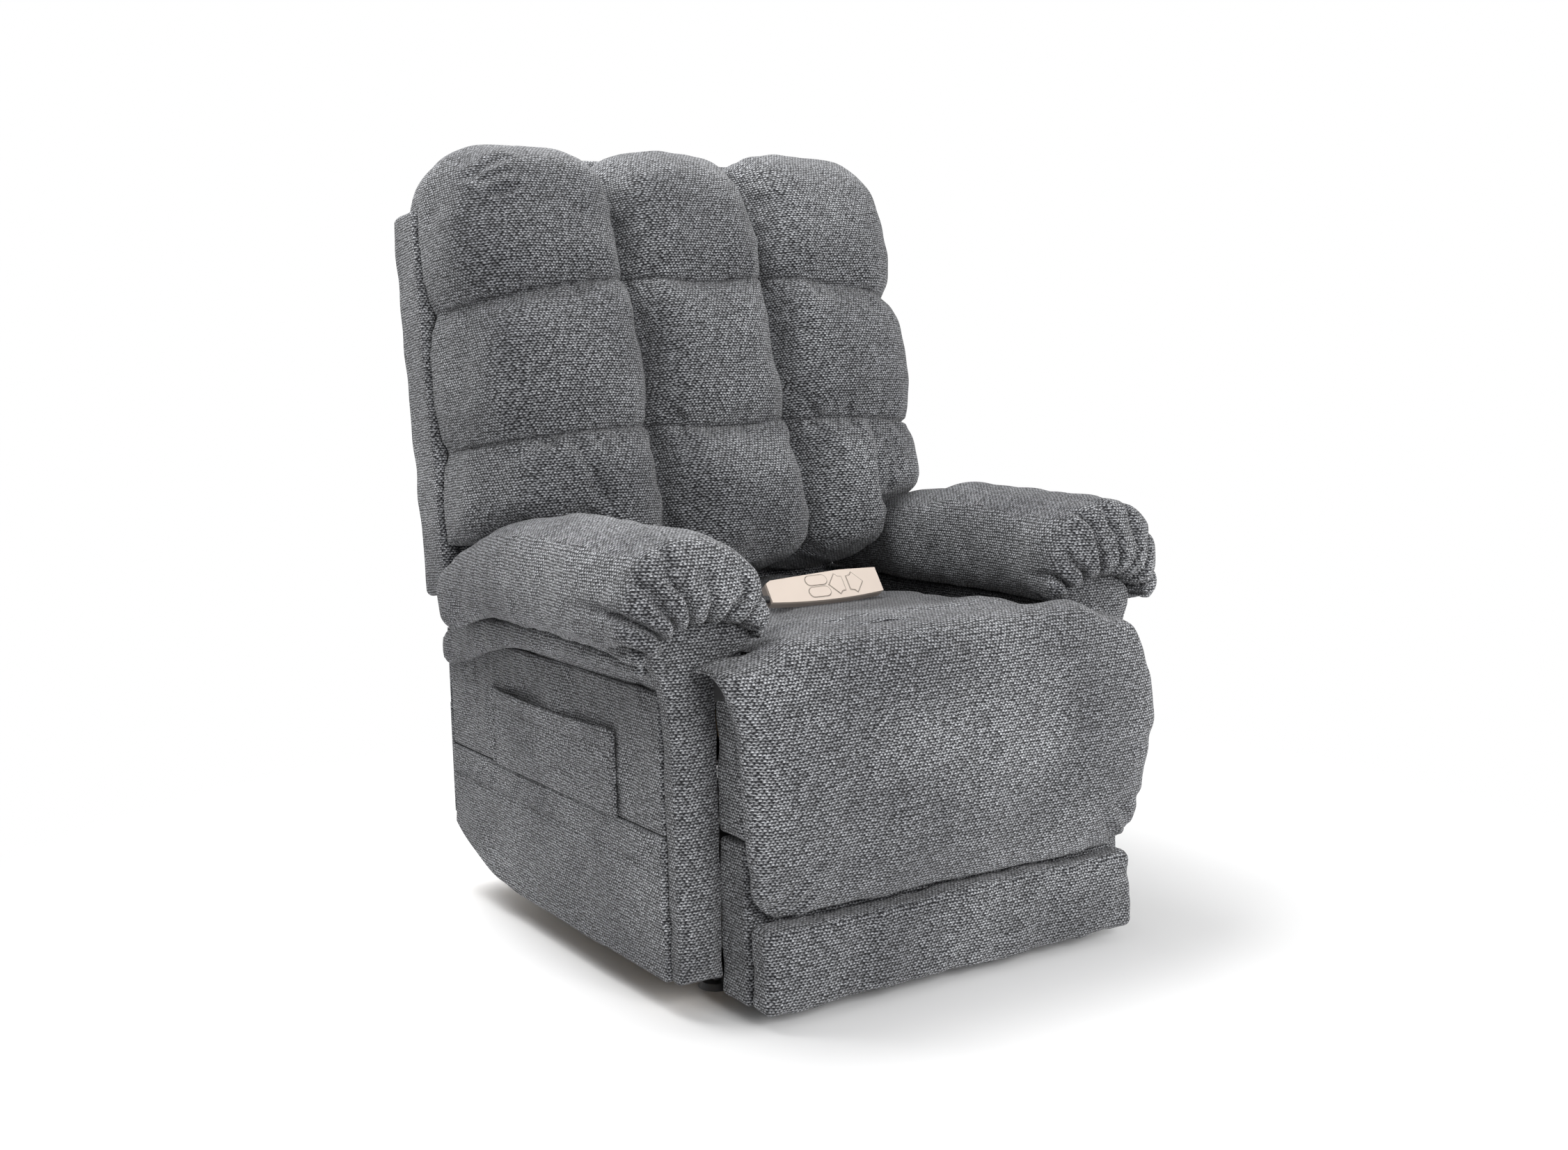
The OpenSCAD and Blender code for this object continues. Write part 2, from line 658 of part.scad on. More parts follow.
module seat_cushion() color([0.43, 0.44, 0.46]) {
    sides = 28;
    rings = 14;
    y = [arm_front + 0.2, back_y - 13];
    side_z = arm_h - 45;
    loft([for (i = [0:rings]) let (
        t = i / rings,
        at = y[0] + (y[1] - y[0]) * t,
        high = table(seat_line, at),
        half = half_seat - side_gap - 3 * sin(180 * t))
        [for (j = [0:sides - 1]) let (p = squircle(360 * j / sides, 3.2))
            [half * p[0], at, p[1] > 0 ? side_z + p[1] * (high - side_z)
                : side_z + p[1] * (side_z - seat_bottom)]]]);
}

// Nose of the seat: the roll of padding that turns over the leg rest's hinge
module chaise_nose() color([0.43, 0.44, 0.46]) {
    steps = 8;
    rings = 20;
    rear = arm_front - seam;
    foot = nose_z + seam;
    depth = rear - front_y - 1;
    loft([for (i = [0:rings]) let (
        s = -1 + 2 * i / rings,
        x = leg_pad_hw * sign(s) * pow(abs(s), 0.8),
        low = abs(x) > ear_hw + 16 ? foot - nose_ear : foot,
        back = abs(s) > 0.99 ? pad_back + 2 : rear,
        inner = 1 - ease((abs(x) - 150) / 90),
        high = 12 + (crown_top - foot - 12) * inner - 8 * ease((abs(x) - 250) / 80),
        deep = depth * (1 - 0.28 * ease((abs(x) - 240) / 90)),
        front = rear - deep)
        concat([[x, back, foot]], [for (k = [0:steps]) let (p = squircle(90 - 90 * k / steps, 2.5))
            [x, back - (back - front) * p[0], foot + high * p[1]]],
            [[x, front + 2, low], [x, pad_back, low], [x, pad_back + 1, foot]])]);
}

// The pad is cut away at both ends of its top, where the nose of the seat wraps over it
nose_ear = 29;
ear_hw = 218;
leg_pad_shape = [[0, 0.86], [0.09, 0.905], [0.2, 0.905], [0.32, 0.92], [0.43, 0.965], [0.68, 1],
    [0.83, 0.985], [0.9, 0.98]];
module leg_pad() color([0.43, 0.44, 0.46]) {
    sides = 28;
    rings = 16;
    deep = pad_back - front_y;
    high = nose_z - leg_pad_z;
    cut = 1 - (nose_ear + 0.6) / high;
    loft([for (i = [0:rings]) let (
        t = i <= rings - 2 ? cut * i / (rings - 2) : i < rings ? cut + 0.002 : 1,
        half = i <= rings - 2 ? leg_pad_hw * table(leg_pad_shape, t) : ear_hw,
        swell = 1 - 0.3 * pow(1 - min(1, t / 0.12), 2) - 0.06 * pow(max(0, (t - 0.9) / 0.1), 2))
        [for (j = [0:sides - 1]) let (p = squircle(-360 * j / sides, 3.4))
            [half * p[0],
                p[1] < 0 ? pad_back - seam : pad_back - seam - (deep - seam) * swell * p[1],
                leg_pad_z + high * t]]]);
}

// ---------------------------------------------------------------- leg rest

ear_x = leg_hw - 3;
ear_t = 6;
module leg_hinge_brackets() color([0.2, 0.2, 0.21]) both_sides() {
    lane = [half_seat - ear_t, half_seat];
    along_x(lane)
        plate([leg_hinge, [arm_front + 24, leg_hinge[1] - 22], [arm_front + 24, leg_hinge[1]]], 12);
    pin([ear_x - 0.5, lane[0]], leg_hinge, small_pin_r);
    pin([ear_x - 0.5 - cap_t, ear_x - 0.5], leg_hinge, small_pin_r + cap_over);
}

leg_eye = leg_pin + leg_eye_shift;
guide_x = 230;
guide_w = 20;
guide_t = 6;
guide_slip = 0.3;
guide_h = 14;
guide_places = [leg_box_z + 3, leg_box_z + 25];
module leg_board() color([0.66, 0.52, 0.35]) difference() {
    union() {
        block([-leg_hw + 5, leg_hw - 5], [box_rear - board_t, box_rear], [leg_box_z, leg_box_top]);
        both_sides() along_x([ear_x, ear_x + ear_t]) plate([
            leg_hinge, [box_rear - board_t, leg_hinge[1] - 60], [box_rear - 12, leg_hinge[1] - 60],
            [box_rear - 12, leg_hinge[1] - 30]], 12);
        both_sides() along_x([leg_hw - 6, ear_x + mesh_over])
            translate([box_rear - board_t, leg_hinge[1] - 72]) square([board_t, 50]);
        for (s = [-1, 1]) along_x([drive_lane + s * (rod_head_w / 2 + 1 + plate_t / 2) - plate_t / 2,
                drive_lane + s * (rod_head_w / 2 + 1 + plate_t / 2) + plate_t / 2])
            disc(leg_eye, leg_eye_r + eye_wall);
        both_sides() for (z = guide_places)
            block([guide_x - 6, guide_x + guide_w + 6], [box_rear - mesh_over, box_rear + guide_t + 4],
                [z, z + guide_h]);
    }
    both_sides() pin([ear_x - 8, ear_x + 8], leg_hinge, small_pin_r + fit);
    pin([drive_lane - drive_eye_w / 2 - mesh_over, drive_lane + drive_eye_w / 2 + mesh_over], leg_eye,
        leg_eye_r);
    block([drive_lane - rod_head_w / 2 - 1, drive_lane + rod_head_w / 2 + 1],
        [box_rear - board_t - mesh_over, box_rear + mesh_over], [leg_eye[1] - 34, leg_eye[1] + 34]);
    both_sides() block([guide_x - guide_slip, guide_x + guide_w + guide_slip],
        [box_rear, box_rear + guide_t + 2 * guide_slip], [leg_box_z, leg_box_top]);
}

module leg_box() color([0.42, 0.43, 0.45]) translate([0, 0, leg_box_z])
    linear_extrude(leg_box_top - leg_box_z) round_rect([-leg_hw + 5, pad_back + seam - 0.2],
        [leg_hw - 5, box_rear - board_t - seam], 8);

module extension_box() color([0.4, 0.41, 0.43]) translate([0, 0, kick_z + 2])
    linear_extrude(lower_box_top - kick_z - 2)
        round_rect([-leg_hw - 5, pad_back + seam - 0.2], [leg_hw + 5, box_rear + guide_slip / 2], 8);

module kick_pad() color([0.43, 0.44, 0.46])
    along_x([-kick_hw, kick_hw]) round_rect([front_y, kick_z], [pad_back, kick_z + kick_h], 14);

module extension_runners() color([0.2, 0.2, 0.21]) both_sides()
    block([guide_x, guide_x + guide_w], [box_rear + guide_slip / 2, box_rear + guide_slip / 2 + guide_t],
        [kick_z + 40, leg_box_top - 45]);

// ---------------------------------------------------------------- back

// The child in the back's own frame: Y to the rear from the wings' front, Z up along the rake
module on_back() translate([0, back_y, back_z]) rotate([-back_rake, 0, 0]) children();

tail_h = 108;
tail_hw = hinge_lane;
module back_outline(hw, top, corner_r) {
    round_rect([-hw, 0], [hw, top], 12);
    translate([-hw, top / 2]) square([2 * hw, top / 2 - corner_r]);
    translate([-tail_hw, -tail_h]) square([2 * tail_hw, tail_h + 20]);
}
module back_slab(y, hw, top, corner_r) translate([0, y[1], 0]) rotate([90, 0, 0])
    linear_extrude(y[1] - y[0]) intersection() {
        back_outline(hw, top, corner_r);
        union() {
            round_rect([-hw, -tail_h], [hw, top], corner_r);
            translate([-hw, -tail_h]) square([2 * hw, top / 2]);
        }
    }

frame_y = [0, 22];
slab_hw = back_hw - wing_t - seam;
module back_frame() color([0.72, 0.58, 0.4]) on_back() back_slab(frame_y, slab_hw, back_frame_h, 110);

module back_cover() color([0.4, 0.41, 0.43]) on_back()
    back_slab([frame_y[1], back_t], slab_hw, back_frame_h + 14, 118);

module back_wing() color([0.42, 0.43, 0.45]) on_back()
    along_x([back_hw - wing_t, back_hw]) round_rect([0, 0], [back_t, wing_h], 20);
module back_wing_left() back_wing();
module back_wing_right() on_right() back_wing();

// Back cushion: three columns of three puffed chambers; rings climb the back
row_seams = [0, 0.36, 0.68, 1];
back_depth = [[0, 205], [0.06, 200], [0.36, 162], [0.68, 130], [0.93, 78], [1, 66]];
function cell(t, marks, i = 0) = i >= len(marks) - 2 || t < marks[i + 1] ? i : cell(t, marks, i + 1);
function bump(t, marks) = let (i = cell(t, marks), a = (t - marks[i]) / (marks[i + 1] - marks[i]))
    pow(abs(sin(180 * min(1, max(0, a)))), 0.55);
shelf = 0.215;                              // height share where the cushion widens over the pillows
module back_cushion() color([0.44, 0.45, 0.47]) on_back() {
    front = 30;
    rear = 6;
    rings = 29;
    wide = back_hw - 5;
    foot = -11;
    loft([for (i = [0:rings]) let (
        t = i / rings,
        roll = pow(max(0, (t - 0.84) / 0.16), 2.4),
        half = (t < shelf ? lumbar_hw : wide) * (1 - 0.02 * (1 - bump(t, row_seams))) - 70 * roll,
        depth = table(back_depth, t) * (1 - 0.2 * pow(max(0, 1 - t / 0.05), 2)) * (1 - 0.55 * roll),
        lift = (back_crown_h - foot) * t)
        concat(
            [for (j = [0:front]) let (
                s = -1 + 2 * j / front,
                x = half * sign(s) * (1 - pow(1 - abs(s), 1.15)),
                marks = [-half, -column_x, column_x, half],
                across = bump(x, marks),
                edge = pow(1 - pow(abs(x) / half, 9), 0.45),
                dip = 34 * roll * (1 - across),
                y = -seam - (depth + puff * across * bump(t, row_seams) * (1 - roll)) * edge)
                [x, y, foot + lift - dip + tan(back_rake) * y * max(0, 1 - t / 0.3)]],
            [for (j = [1:rear]) let (s = 1 - 2 * j / (rear + 1)) [half * s, -seam, foot + lift]])]);
}

strap_top = [back_hinge[0] - 3, back_hinge[1] + 95];
strap_tube = [back_hinge[0] + 20, back_hinge[1] - 40];
back_eye = back_pin + back_eye_shift;
module back_straps() color([0.2, 0.2, 0.21]) {
    both_sides() along_x([hinge_lane, hinge_lane + strap_t]) difference() {
        union() {
            bar(back_hinge, strap_top, 16);
            bar(back_hinge, strap_tube, 14);
        }
        disc(back_hinge, pin_r + fit);
    }
    pin([-hinge_lane - 1, hinge_lane + 1], strap_tube, 11);
    for (s = [-1, 1]) along_x([-drive_lane + s * (rod_head_w / 2 + 1 + plate_t / 2) - plate_t / 2,
            -drive_lane + s * (rod_head_w / 2 + 1 + plate_t / 2) + plate_t / 2]) difference() {
        union() {
            bar(strap_tube, back_eye, 13);
            disc(back_eye, back_eye_r + eye_wall);
        }
        disc(back_eye, back_eye_r);
    }
}

// ---------------------------------------------------------------- controls

box_x = [-plate_x, -plate_x + 84];
box_y = [50, 160];
box_z = [arm_h - 230, arm_h - 167];
gland_h = 7;
module control_box() color([0.08, 0.08, 0.09]) {
    along_x(box_x) round_rect([box_y[0], box_z[0]], [box_y[1], box_z[1]], 6);
    end = cord_route[len(cord_route) - 1];
    translate([end[0], end[1], box_z[1] - mesh_over]) cylinder(h = gland_h + mesh_over, r = cord_d);
    inlet_mid = [(box_x[0] + box_x[1]) / 2, (box_z[0] + box_z[1]) / 2];
    difference() {
        block([inlet_mid[0] - 16, inlet_mid[0] + 16], [box_y[1] - mesh_over, box_y[1] + 10],
            [inlet_mid[1] - 12, inlet_mid[1] + 12]);
        block([inlet_mid[0] - 12, inlet_mid[0] + 12], [box_y[1] + 2, box_y[1] + 10 + mesh_over],
            [inlet_mid[1] - 8, inlet_mid[1] + 8]);
    }
    for (x = [-7, 7]) translate([inlet_mid[0] + x, box_y[1], inlet_mid[1]]) along_y([0, 8], 1.5);
}

// The handset's own frame: X along it, Y up its face, Z out of the face
module on_handset() translate(cord_exit) rotate([handset_tilt, 0, 0])
    translate([handset_l / 2 + relief_l, -relief_v, handset_t / 2]) children();

// Outline of the handset: a long bar with a bowed lower edge, narrower at the cord's end
module handset_outline(inset) {
    half = handset_l / 2 - inset;
    top_l = handset_end_w - inset;
    top_m = handset_w - inset;
    bow_r = 900;
    intersection() {
        translate([0, bow_r + inset]) circle(bow_r, $fn = 360);
        polygon([[-half, inset], [half, inset], [half, top_m - 2], [half - 60, top_m], [10, top_m - 1],
            [-half + 8, top_l + 6], [-half, top_l + 2]]);
    }
}

oblong = [34, 14];
rocker_at = [[-12, 31], [-12, 13]];
arrow_at = [[20, 22], [49, 22]];
arrow_half = 15;
// A round-ended button outline, and an arrow outline that points to -X
module oblong_outline(grow) {
    r = oblong[1] / 2 + grow;
    for (s = [-1, 1]) disc([s * (oblong[0] / 2 - oblong[1] / 2), 0], r);
    translate([-oblong[0] / 2 + oblong[1] / 2, -r]) square([oblong[0] - oblong[1], 2 * r]);
}
module arrow_outline(grow) polygon([
    [-13 - 1.4 * grow, 0], [0, -arrow_half - 1.4 * grow], [4 + grow, -arrow_half + 4 - grow],
    [10 + grow, -arrow_half + 5 - grow], [10 + grow, arrow_half - 5 + grow],
    [4 + grow, arrow_half - 4 + grow],
    [0, arrow_half + 1.4 * grow]
]);
module button_holes() {
    for (p = rocker_at) translate(p) oblong_outline(button_gap);
    translate(arrow_at[0]) arrow_outline(button_gap);
    translate(arrow_at[1]) mirror([1, 0, 0]) arrow_outline(button_gap);
}

well = 4;                                   // depth of the room under the buttons
module handset_shell() color([0.45, 0.42, 0.4]) on_handset() difference() {
    translate([0, 0, -handset_t]) linear_extrude(handset_t - cover_t) handset_outline(0);
    difference() {
        block([-34, 68], [4, handset_w - 4], [-cover_t - well, -cover_t + mesh_over]);
        for (p = rocker_at) block([p[0] - 6, p[0] + 6], [p[1] - 1.5, p[1] + 1.5],
            [-cover_t - well - mesh_over, rocker_axle - axle_r]);
    }
}
axle_r = 1.2;
rocker_axle = -cover_t - axle_r;

module handset_cover() color([0.89, 0.83, 0.78]) on_handset()
    translate([0, 0, -cover_t]) linear_extrude(cover_t) difference() {
        handset_outline(0);
        button_holes();
    }

button_proud = 0.6;
lip = 1.2;
button_t = cover_t + button_proud;
module button(at) on_handset() translate([at[0], at[1], -cover_t]) children();
module rocker(at) color([0.9, 0.85, 0.8]) button(at) {
    linear_extrude(button_t) oblong_outline(0);
    translate([0, 0, -axle_r]) {
        rotate([0, 90, 0]) cylinder(h = 18, r = axle_r, center = true);
        translate([-9, -axle_r, 0]) cube([18, 2 * axle_r, axle_r + mesh_over]);
    }
}
module rocker_upper() rocker(rocker_at[0]);
module rocker_lower() rocker(rocker_at[1]);
module arrow(at, flip) color([0.9, 0.85, 0.8]) button(at) {
    linear_extrude(button_t) mirror([flip ? 1 : 0, 0, 0]) arrow_outline(0);
    translate([0, 0, -lip]) linear_extrude(lip) mirror([flip ? 1 : 0, 0, 0]) arrow_outline(button_gap + 1);
    translate([0, 0, -2]) cylinder(h = 2 + mesh_over, r = 4);
}
module arrow_left() arrow(arrow_at[0], false);
module arrow_right() arrow(arrow_at[1], true);

// Tapered sleeve where the cord leaves the handset
relief_start = 0.4;
module cord_relief() color([0.06, 0.06, 0.06])
    translate(cord_exit + [relief_start, 0, 0]) rotate([0, 90, 0]) union() {
        cylinder(h = relief_l - relief_start, r1 = cord_d / 2 + 0.8, r2 = cord_d / 2 + 2.2);
        for (k = [1:4]) translate([0, 0, k * 3.6]) cylinder(h = 1.6, r = cord_d / 2 + 1 + 0.35 * k);
    }

// The cord: a round tube carried along its route, each ring square to the run
cord_sides = 8;
function run_at(route, i) = unit(route[min(i + 1, len(route) - 1)] - route[max(i - 1, 0)]);
module tube_along(route, r, sides) {
    n = len(route);
    loft([for (i = [0:n - 1]) let (
        d = run_at(route, i),
        up = abs(d[2]) < 0.8 ? [0, 0, 1] : [0, 1, 0],
        u = unit(cross(up, d)),
        v = cross(d, u))
        [for (j = [0:sides - 1]) route[i] + r * (cos(360 * j / sides) * u + sin(360 * j / sides) * v)]]);
}
module handset_cord() color([0.06, 0.06, 0.06]) tube_along(cord_route, cord_d / 2, cord_sides);

// ---------------------------------------------------------------- drawing

base_rail_left();
base_rail_right();
base_cross_tubes();
pivot_brackets();
levelling_feet();
lift_arm_left();
lift_arm_right();
lift_torque_tube();
control_links();
lift_motor();
lift_rod();
mechanism_plate_left();
mechanism_plate_right();
seat_cross_tube_front();
seat_cross_tube_rear();
seat_rail_front();
seat_rail_rear();
seat_springs();
arm_frame_left();
arm_frame_right();
side_panel_left();
side_panel_right();
side_skirt_left();
side_skirt_right();
arm_facing_left();
arm_facing_right();
arm_band_left();
arm_band_right();
arm_pillow_left();
arm_pillow_right();
storage_pocket();
rear_panel();
seat_cushion();
chaise_nose();
leg_hinge_brackets();
control_box();
handset_shell();
handset_cover();
handset_cord();
cord_relief();
rocker_upper();
rocker_lower();
arrow_left();
arrow_right();
back_frame();
back_cover();
back_wing_left();
back_wing_right();
back_cushion();
back_straps();
back_motor();
back_rod();
leg_board();
leg_box();
leg_pad();
leg_motor();
leg_rod();
extension_box();
kick_pad();
extension_runners();
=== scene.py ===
"""Lift recliner chair: the finishes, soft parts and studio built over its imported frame.

Lengths are metres in the chair's own frame: X to the sitter's left, Y to the rear, Z up.
"""
import logging
import math
from dataclasses import dataclass, field
from enum import Enum
from typing import Callable, Optional, Sequence

import bpy
import numpy as np
from mathutils import Matrix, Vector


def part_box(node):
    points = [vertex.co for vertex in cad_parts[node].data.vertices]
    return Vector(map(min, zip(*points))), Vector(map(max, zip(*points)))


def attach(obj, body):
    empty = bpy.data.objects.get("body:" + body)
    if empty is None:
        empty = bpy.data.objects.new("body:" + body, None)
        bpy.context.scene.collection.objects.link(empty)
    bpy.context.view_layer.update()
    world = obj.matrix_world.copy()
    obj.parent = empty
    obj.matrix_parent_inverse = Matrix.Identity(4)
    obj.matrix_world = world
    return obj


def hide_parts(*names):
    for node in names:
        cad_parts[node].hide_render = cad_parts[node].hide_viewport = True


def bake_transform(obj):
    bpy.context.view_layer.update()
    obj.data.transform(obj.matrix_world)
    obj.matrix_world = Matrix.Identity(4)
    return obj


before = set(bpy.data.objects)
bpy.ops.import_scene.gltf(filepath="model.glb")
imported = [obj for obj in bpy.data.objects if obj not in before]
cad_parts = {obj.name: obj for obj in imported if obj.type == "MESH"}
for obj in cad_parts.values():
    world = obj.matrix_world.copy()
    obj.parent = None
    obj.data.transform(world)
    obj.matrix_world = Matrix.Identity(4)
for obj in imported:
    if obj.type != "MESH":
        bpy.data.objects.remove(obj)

LOG = logging.getLogger("recliner")
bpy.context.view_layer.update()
Array = np.ndarray
Warp = Callable[[Array], Array]
Field = Callable[[Array, Array], Array]
Row = Sequence[float]


class Side(Enum):
    """The two sides of the chair, as the sitter names them."""

    LEFT = 1.0
    RIGHT = -1.0


# ------------------------------------------------------------------ number work


def ease(t: Array) -> Array:
    """3t² − 2t³ with t held between 0 and 1."""
    c = np.clip(t, 0.0, 1.0)
    return c * c * (3.0 - 2.0 * c)


def table(rows: Sequence[Row], at: Array) -> Array:
    """Smooth value read from rows of (place, value) by a cosine step between rows.

    Args:
        rows: Pairs in rising order of place.
        at: Places to read.

    Returns:
        One value for each place.
    """
    places, values = np.array(rows, float).T
    i = np.clip(np.searchsorted(places, at) - 1, 0, len(places) - 2)
    t = np.clip((at - places[i]) / (places[i + 1] - places[i]), 0.0, 1.0)
    slope = np.gradient(values, places)
    span = places[i + 1] - places[i]
    t2, t3 = t * t, t * t * t
    return ((2 * t3 - 3 * t2 + 1) * values[i] + (t3 - 2 * t2 + t) * span * slope[i]
            + (3 * t2 - 2 * t3) * values[i + 1] + (t3 - t2) * span * slope[i + 1])


def ripple(points: Array, length: float, seed: int, waves: int = 14,
           squeeze: Row = (1, 1, 1)) -> Array:
    """Soft unevenness: the sum of plane waves sin(2π k·p / length + φ) over seeded directions k.

    Args:
        points: Places, one row of three each.
        length: Wavelength, in metres.
        seed: Chooses the waves.
        waves: How many are summed.
        squeeze: Factors on the three coordinates before the waves are read.

    Returns:
        One number for each place, of about unit size.
    """
    rng = np.random.default_rng(seed)
    k = rng.normal(size=(waves, 3))
    k /= np.linalg.norm(k, axis=1)[:, None]
    k *= rng.uniform(0.6, 1.5, waves)[:, None] / length
    phase = rng.uniform(0, 2 * np.pi, waves)
    return np.sin(2 * np.pi * (points * np.array(squeeze)) @ k.T
                  + phase).sum(1) / math.sqrt(waves / 2)


def groove(distance: Array, width: float) -> Array:
    """A sewn line's section, exp(−(d/width)²): 1 on the line and 0 away from it."""
    return np.exp(-(distance / width) ** 2)


def outline_distance(points: Array, outline: Array) -> Array:
    """Signed distance of points from a closed outline, below 0 inside.

    Args:
        points: Places in the outline's plane, shape (n, 2).
        outline: Corners in order, shape (m, 2).

    Returns:
        Distance to the nearest edge, with its sign from a count of crossings.
    """
    a, b = outline, np.roll(outline, -1, axis=0)
    best = np.full(len(points), 1e9)
    inside = np.zeros(len(points), bool)
    for p, q in zip(a, b):
        run = q - p
        t = np.clip(((points - p) @ run) / (run @ run), 0, 1)
        best = np.minimum(best, np.linalg.norm(points - p - t[:, None] * run, axis=1))
        cross = (p[1] > points[:, 1]) != (q[1] > points[:, 1])
        with np.errstate(divide="ignore", invalid="ignore"):
            where = p[0] + (points[:, 1] - p[1]) * run[0] / (run[1] if run[1] else 1e-12)
        inside ^= cross & (points[:, 0] < where)
    return np.where(inside, -best, best)


# ------------------------------------------------------------------ surfaces


@dataclass
class Surface:
    """A closed surface: its points, and the four corners of each face.

    Attributes:
        points: Places, shape (n, 3).
        quads: Corner numbers, shape (m, 4), counter-clockwise from outside.
    """

    points: Array
    quads: Array

    @staticmethod
    def marks(half: float, radius: float, step: float) -> Array:
        """Grid lines from −half to half: close over the rounded ends, even between them."""
        r = min(radius, half * 0.98)
        turn = half - r + r * np.tan(np.linspace(0, np.pi / 4, 5))
        n = max(1, round(2 * (half - r) / step))
        return np.concatenate([-turn[::-1], np.linspace(-(half - r), half - r, n + 1)[1:-1], turn])

    @classmethod
    def block(cls, low: Row, high: Row, radius: float, step: float) -> "Surface":
        """A box with round edges.

        The box's skin p is drawn to c + r (p − c)/|p − c|, where c is p held r inside the box.

        Args:
            low: Lowest corner.
            high: Highest corner.
            radius: Edge radius r.
            step: Grid spacing on the flats.

        Returns:
            The closed surface.
        """
        low, high = np.array(low, float), np.array(high, float)
        half = (high - low) / 2
        r = min(radius, half.min() * 0.98)
        lines = [cls.marks(h, r, step) for h in half]
        size = [len(v) for v in lines]
        keys, quads = [], []
        for axis in range(3):
            b, c = (axis + 1) % 3, (axis + 2) % 3
            for end in (0, size[axis] - 1):
                ib, ic = np.meshgrid(np.arange(size[b]), np.arange(size[c]), indexing="ij")
                index = [None, None, None]
                index[axis], index[b], index[c] = np.full_like(ib, end), ib, ic
                key = (index[0] * size[1] + index[1]) * size[2] + index[2]
                face = np.stack([key[:-1, :-1], key[1:, :-1], key[1:, 1:], key[:-1, 1:]],
                                -1).reshape(-1, 4)
                keys.append(key.ravel())
                quads.append(face if end else face[:, ::-1])
        used, quad = np.unique(np.concatenate(keys)), np.concatenate(quads)
        quad = np.searchsorted(used, quad)
        ijk = np.stack([used // (size[1] * size[2]), used // size[2] % size[1], used % size[2]],
                       -1)
        p = np.stack([lines[k][ijk[:, k]] for k in range(3)], -1)
        core = np.clip(p, -(half - r), half - r)
        out = p - core
        p = core + r * out / np.maximum(np.linalg.norm(out, axis=1), 1e-9)[:, None]
        return cls(p + (low + high) / 2, quad)

    def warped(self, warp: Warp) -> "Surface":
        """The same faces with every point moved by warp."""
        return Surface(warp(self.points), self.quads)

    def turned_over(self) -> "Surface":
        """The same points with every face's order reversed, for a mirrored shape."""
        return Surface(self.points, self.quads[:, ::-1])

    @staticmethod
    def joined(parts: Sequence["Surface"]) -> "Surface":
        """Several closed surfaces as one set of faces."""
        starts = np.cumsum([0] + [len(s.points) for s in parts[:-1]])
        return Surface(np.concatenate([s.points for s in parts]),
                       np.concatenate([s.quads + k for s, k in zip(parts, starts)]))

    @classmethod
    def between(cls, front: Array, rear: Array) -> "Surface":
        """The closed surface of two sheets of the same grid, joined all round their rims.

        Args:
            front: Grid of places, shape (n, m, 3); its outside is where i cross j points.
            rear: The other sheet, shape (n, m, 3).

        Returns:
            The closed surface.
        """
        n, m = front.shape[:2]
        f = np.arange(n * m).reshape(n, m)
        r = f + n * m
        face = np.stack([f[:-1, :-1], f[1:, :-1], f[1:, 1:], f[:-1, 1:]], -1).reshape(-1, 4)
        low = np.stack([f[1:, 0], f[:-1, 0], r[:-1, 0], r[1:, 0]], -1)
        high = np.stack([f[:-1, -1], f[1:, -1], r[1:, -1], r[:-1, -1]], -1)
        first = np.stack([f[0, :-1], f[0, 1:], r[0, 1:], r[0, :-1]], -1)
        last = np.stack([f[-1, 1:], f[-1, :-1], r[-1, :-1], r[-1, 1:]], -1)
        quads = np.concatenate([face, face[:, ::-1] + n * m, low, high, first, last])
        return cls(np.concatenate([front.reshape(-1, 3), rear.reshape(-1, 3)]), quads)

    def mesh(self, name: str) -> bpy.types.Object:
        """A smooth-shaded object that holds the surface."""
        data = bpy.data.meshes.new(name)
        data.vertices.add(len(self.points))
        data.vertices.foreach_set("co", self.points.astype(np.float32).ravel())
        data.loops.add(self.quads.size)
        data.loops.foreach_set("vertex_index", self.quads.astype(np.int32).ravel())
        data.polygons.add(len(self.quads))
        data.polygons.foreach_set("loop_start", np.arange(0, self.quads.size, 4, dtype=np.int32))
        data.update(calc_edges=True)
        data.polygons.foreach_set("use_smooth", np.ones(len(self.quads), bool))
        piece = bpy.data.objects.new(name, data)
        bpy.context.scene.collection.objects.link(piece)
        return piece


